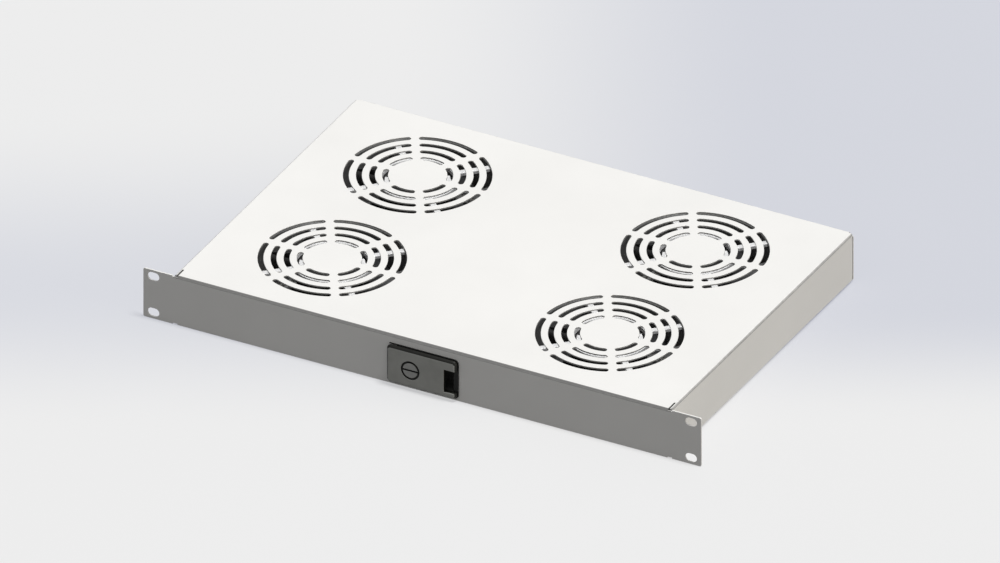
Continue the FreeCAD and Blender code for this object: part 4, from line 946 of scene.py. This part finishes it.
def make_fans():
    """The four fans, alike but for the angle of the lead's arm."""
    bracket, impeller = make_bracket(), make_impeller()
    for n, ((x, y), lead_angle) in enumerate(zip(FANS, LEAD_ANGLES), 1):
        place = (x, y, 0)
        casting = make_frame(lead_angle)
        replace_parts(casting.piece(f"fan_casting_{n}", "fan_cast", "tray", place), f"fan_frame_{n}")
        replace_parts(bracket.piece(f"motor_cup_{n}", "bracket_metal", "tray", place), f"motor_bracket_{n}")
        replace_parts(impeller.piece(f"blades_{n}", "impeller_black", f"rotor_{n}", place), f"impeller_{n}")


make_fans()

# ---------------------------------------------------------------- latch

# The plate is given by its sides in X and its levels in Z, and the notch by its depth in X and its levels.

PLATE = (-29.0, 31.0, -19.0, 14.0)
PLATE_CORNER, PLATE_EDGE = 3.0, 2.5
PADDLE_FRONT, PADDLE_BACK = -4.0, -1.2
NOTCH = (20.7, -14.0, 5.3)
HINGE = (-23.4, 3.0)
SWING = math.radians(20)
HEEL_ROOM = 0.2
PIN_BORE, KNUCKLE_R = 1.06, 2.2
KNUCKLES = ((-13.8, -7.3), (2.3, 8.8))
ARM = (-13.8, -9.4)
ARM_TIP, ARM_TIP_R = 12.0, 1.3

LOCK = (-8.4, -3.5)
PLUG_R, GROOVE_R, SOCKET_R = 6.45, 6.58, 7.9
GROOVE_FLOOR, PLUG_LENGTH = -9.0, 10.0
COIN_SLOT, COIN_DEPTH = 1.3, 1.6
TAIL_HALF = 2.0
CAM_FRONT, CAM_BACK = 6.5, 8.5
CAM_REACH, CAM_HALF, CAM_CORNER = 13.8, 3.35, 1.0


def heel_limit(x):
    """How far back the plate may reach at x beside the hinge, so that its heel clears the panel when it swings."""
    return HINGE[1] + ((x - HINGE[0]) * math.sin(SWING) - HINGE[1] - HEEL_ROOM) / math.cos(SWING)


def make_paddle():
    """The pull plate with its finger notch, the hole and groove round the plug, knuckles, and the bolt's arm."""
    paddle = Surface()
    face = Plane((0, PADDLE_FRONT, 0), X, Z)
    x0, x1, z0, z1 = PLATE
    notch_x, notch_low, notch_high = NOTCH
    r = PLATE_CORNER
    outline = arc((x0 + r, z0 + r), r, 180, 270, 6) + arc((x1 - r, z0 + r), r, -90, 0, 6)
    crisp = range(len(outline), len(outline) + 3)
    outline += [(x1, notch_low), (notch_x, notch_low), (notch_x, notch_high), (x1, notch_high)]
    outline += arc((x1 - r, z1 - r), r, 0, 90, 6) + arc((x0 + r, z1 - r), r, 90, 180, 6)
    thickness = PADDLE_BACK - PADDLE_FRONT
    plate(paddle, face, outline, [circle(LOCK, SOCKET_R, 48)], thickness, PLATE_EDGE, 0.2, (), 6, crisp)
    for point in paddle.points:
        if point.x / MM < HINGE[0] - 1:
            point.y = min(point.y, heel_limit(point.x / MM) * MM)
    lathe(paddle, face, [(8.0, -1.4), (GROOVE_R, -1.4), (GROOVE_R, GROOVE_FLOOR)], 48, LOCK)
    lathe(paddle, face, [(GROOVE_R, -PLUG_LENGTH), (SOCKET_R, -PLUG_LENGTH), (SOCKET_R, -2.6)], 48, LOCK)
    hinge_x, hinge_y = HINGE
    for low, high in KNUCKLES:
        knuckle = [(PIN_BORE, low), (KNUCKLE_R, low), (KNUCKLE_R, high), (PIN_BORE, high), (PIN_BORE, low)]
        lathe(paddle, Plane((hinge_x, hinge_y, 0), X, Y), knuckle, 24)
        block(paddle, (hinge_x - 1, -1.7, low), (hinge_x + KNUCKLE_R, hinge_y - 1.2, high), 0.1)
    low, high = ARM
    block(paddle, (hinge_x - 0.8, hinge_y + 1.2, low), (hinge_x + 0.8, ARM_TIP + 0.6, high), 0.2)
    tip = [(0, low), (ARM_TIP_R, low), (ARM_TIP_R, high), (0, high)]
    lathe(paddle, Plane((hinge_x, ARM_TIP, 0), X, Y), tip, 20)
    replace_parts(paddle.piece("pull_plate", "latch_grey", "paddle"), "latch_paddle")


def make_lock():
    """The plug with its coin slot and tail, the cam on the tail, and the screw that keeps it there."""
    plug = Surface()
    face = Plane((0, PADDLE_FRONT, 0), X, Z)
    side = math.degrees(math.asin(COIN_SLOT / 2 / PLUG_R))
    for start in (0, 180):
        half_disc = arc(LOCK, PLUG_R, start + side, start + 180 - side, 24)
        plate(plug, face, half_disc, [], COIN_DEPTH, 0.35, 0.0, (), 3)
    lathe(plug, face, [(PLUG_R, -PLUG_LENGTH), (PLUG_R, -COIN_DEPTH), (0.0, -COIN_DEPTH)], 48, LOCK)
    x, z, half = *LOCK, TAIL_HALF
    block(plug, (x - half, 6.0, z - half), (x + half, CAM_BACK, z + half), 0.2)
    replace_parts(plug.piece("coin_plug", "lock_metal", "lock"), "lock_plug")

    back = Plane((0, CAM_BACK, 0), -X, Z)
    lever = Surface()
    corner_u, corner_v = CAM_REACH - x - CAM_CORNER, CAM_HALF - CAM_CORNER
    outline = arc((-x, z), CAM_HALF, 90, 270, 14)
    outline += arc((corner_u, z - corner_v), CAM_CORNER, -90, 0, 4)
    outline += arc((corner_u, z + corner_v), CAM_CORNER, 0, 90, 4)
    hole = rectangle(-x - half, -x + half, z - half, z + half)
    plate(lever, back, outline, [hole], CAM_BACK - CAM_FRONT, 0.2, 0.2)
    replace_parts(lever.piece("cam_lever", "latch_steel", "lock"), "lock_cam")
    head = Surface()
    screw(head, back, (-x, z), 2.9, 1.2, 1.2, 2.2)
    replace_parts(head.piece("cam_screw", "screw_steel", "lock"), "lock_screw")


make_paddle()
make_lock()


BEZEL_LEVELS = ((-19.7, -19.1), (14.1, 14.7))


def make_bezel_ends():
    """The ends of the bezel above and below the hinge side of the pull plate."""
    ends = Surface()
    for z0, z1 in BEZEL_LEVELS:
        block(ends, (-28.0, -1.0, z0), (-21.0, 0.0, z1), 0.1)
    ends.piece("bezel_ends", "latch_black", "tray")


make_bezel_ends()


INLET_Z = 1.0
INLET_BACK = 302.5
FLANGE_T = 2.5
MOUTH_HALF, MOUTH_CUT, MOUTH_DEPTH = (11.8, 7.8), 4.0, 15.0
SHELL = (-13.5, 13.5, -9.7, 9.7)
INLET_SCREW_X = (-20, 20)


def behind(plane, depth):
    """The same plane, moved back."""
    return Plane(plane.at((0, 0), -depth), plane.u, plane.v)


def make_inlet():
    """The inlet with its flange, mouth and blades, and its two screws."""
    face = Plane((0, INLET_BACK, INLET_Z), -X, Z)
    half_w, half_h = MOUTH_HALF
    mouth = [(0, -half_h), (half_w, -half_h), (half_w, half_h - MOUTH_CUT), (half_w - MOUTH_CUT, half_h)]
    mouth += [(MOUTH_CUT - half_w, half_h), (-half_w, half_h - MOUTH_CUT), (-half_w, -half_h), (0, -half_h)]
    mouth = [(p.x, p.y) for p in soften(mouth, 0.8)][:-1]
    inlet = Surface()
    holes = [mouth] + [circle((x, 0), 3.0, 28) for x in INLET_SCREW_X]
    plate(inlet, face, rectangle(-25, 25, -12, 12, 3.0, 6), holes, FLANGE_T, 0.7, 0.0, (), 4)
    plate(inlet, behind(face, FLANGE_T), rectangle(*SHELL), [mouth], MOUTH_DEPTH - FLANGE_T, 0.0)
    fill(inlet, face, [mouth], -MOUTH_DEPTH, 1)
    plate(inlet, behind(face, MOUTH_DEPTH), rectangle(*SHELL), [], 5.5, 0.0)
    for x in INLET_SCREW_X:
        lathe(inlet, face, [(3.0, -0.3), (1.6, -1.8), (1.6, -2.5)], 28, (x, 0))
    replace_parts(inlet.piece("inlet_moulding", "inlet_black", "tray"), "power_inlet")

    pins = Surface()
    for x, z in ((-7, -2), (0, 2), (7, -2)):
        plate(pins, behind(face, 2.0), rectangle(x - 1, x + 1, z - 2, z + 2), [], 25.5, 0.45, 0.0, (), 3)
    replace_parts(pins.piece("inlet_blades", "terminal_metal", "tray"), "inlet_pins")

    screws = Surface()
    for x in INLET_SCREW_X:
        screw(screws, behind(face, 0.6), (x, 0), 2.8, 1.3, 1.5, 4.9)
    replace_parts(screws.piece("inlet_screw_set", "screw_steel", "tray"), "inlet_screws")


make_inlet()


SPRING_ENDS = (-6.9, 1.9)
SPRING_R, SPRING_WIRE_R = 1.5, 0.33


def make_spring():
    """The coils of the torsion spring round the hinge pin."""
    spring = Surface()
    low, high = SPRING_ENDS
    coil, wire = SPRING_R, SPRING_WIRE_R
    turns, per_turn, around = 9, 20, 8
    previous = None
    for i in range(turns * per_turn + 1):
        angle = TAU * i / per_turn
        out = Vector((math.cos(angle), math.sin(angle), 0))
        middle = Vector((*HINGE, low + wire + (high - low - 2 * wire) * i / (turns * per_turn))) + out * coil
        ways = [out * math.cos(TAU * k / around) + Z * math.sin(TAU * k / around) for k in range(around)]
        here = [(middle + way * wire, way) for way in ways]
        if previous:
            for k in range(around):
                m = (k + 1) % around
                corners = (previous[k], previous[m], here[m], here[k])
                spring.face([c[0] for c in corners], [c[1] for c in corners])
        previous = here
    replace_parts(spring.piece("hinge_spring", "spring_steel", "tray"), "latch_spring")


make_spring()

# ---------------------------------------------------------------- light and view

make_floor(start_bounds[0][2] - 0.2 * MM)
in_fans = [o for o in bpy.data.objects if o.name.startswith(("fan_casting", "motor_cup", "blades"))]
key = sun("key", KEY, KEY_STRENGTH, KEY_ANGLE)
share(key, "receiver", in_fans, "EXCLUDE")
key_inside = sun("key_inside", KEY, KEY_STRENGTH, KEY_ANGLE)
share(key_inside, "receiver", in_fans, "INCLUDE")
share(key_inside, "blocker", [bpy.data.objects["cover_sheet"]], "EXCLUDE")
sun("side_fill", FILL, FILL_STRENGTH, FILL_ANGLE, FILL_COLOUR)
make_world(WORLD_STRENGTH)
make_camera()
bpy.context.scene.view_settings.view_transform = "Standard"
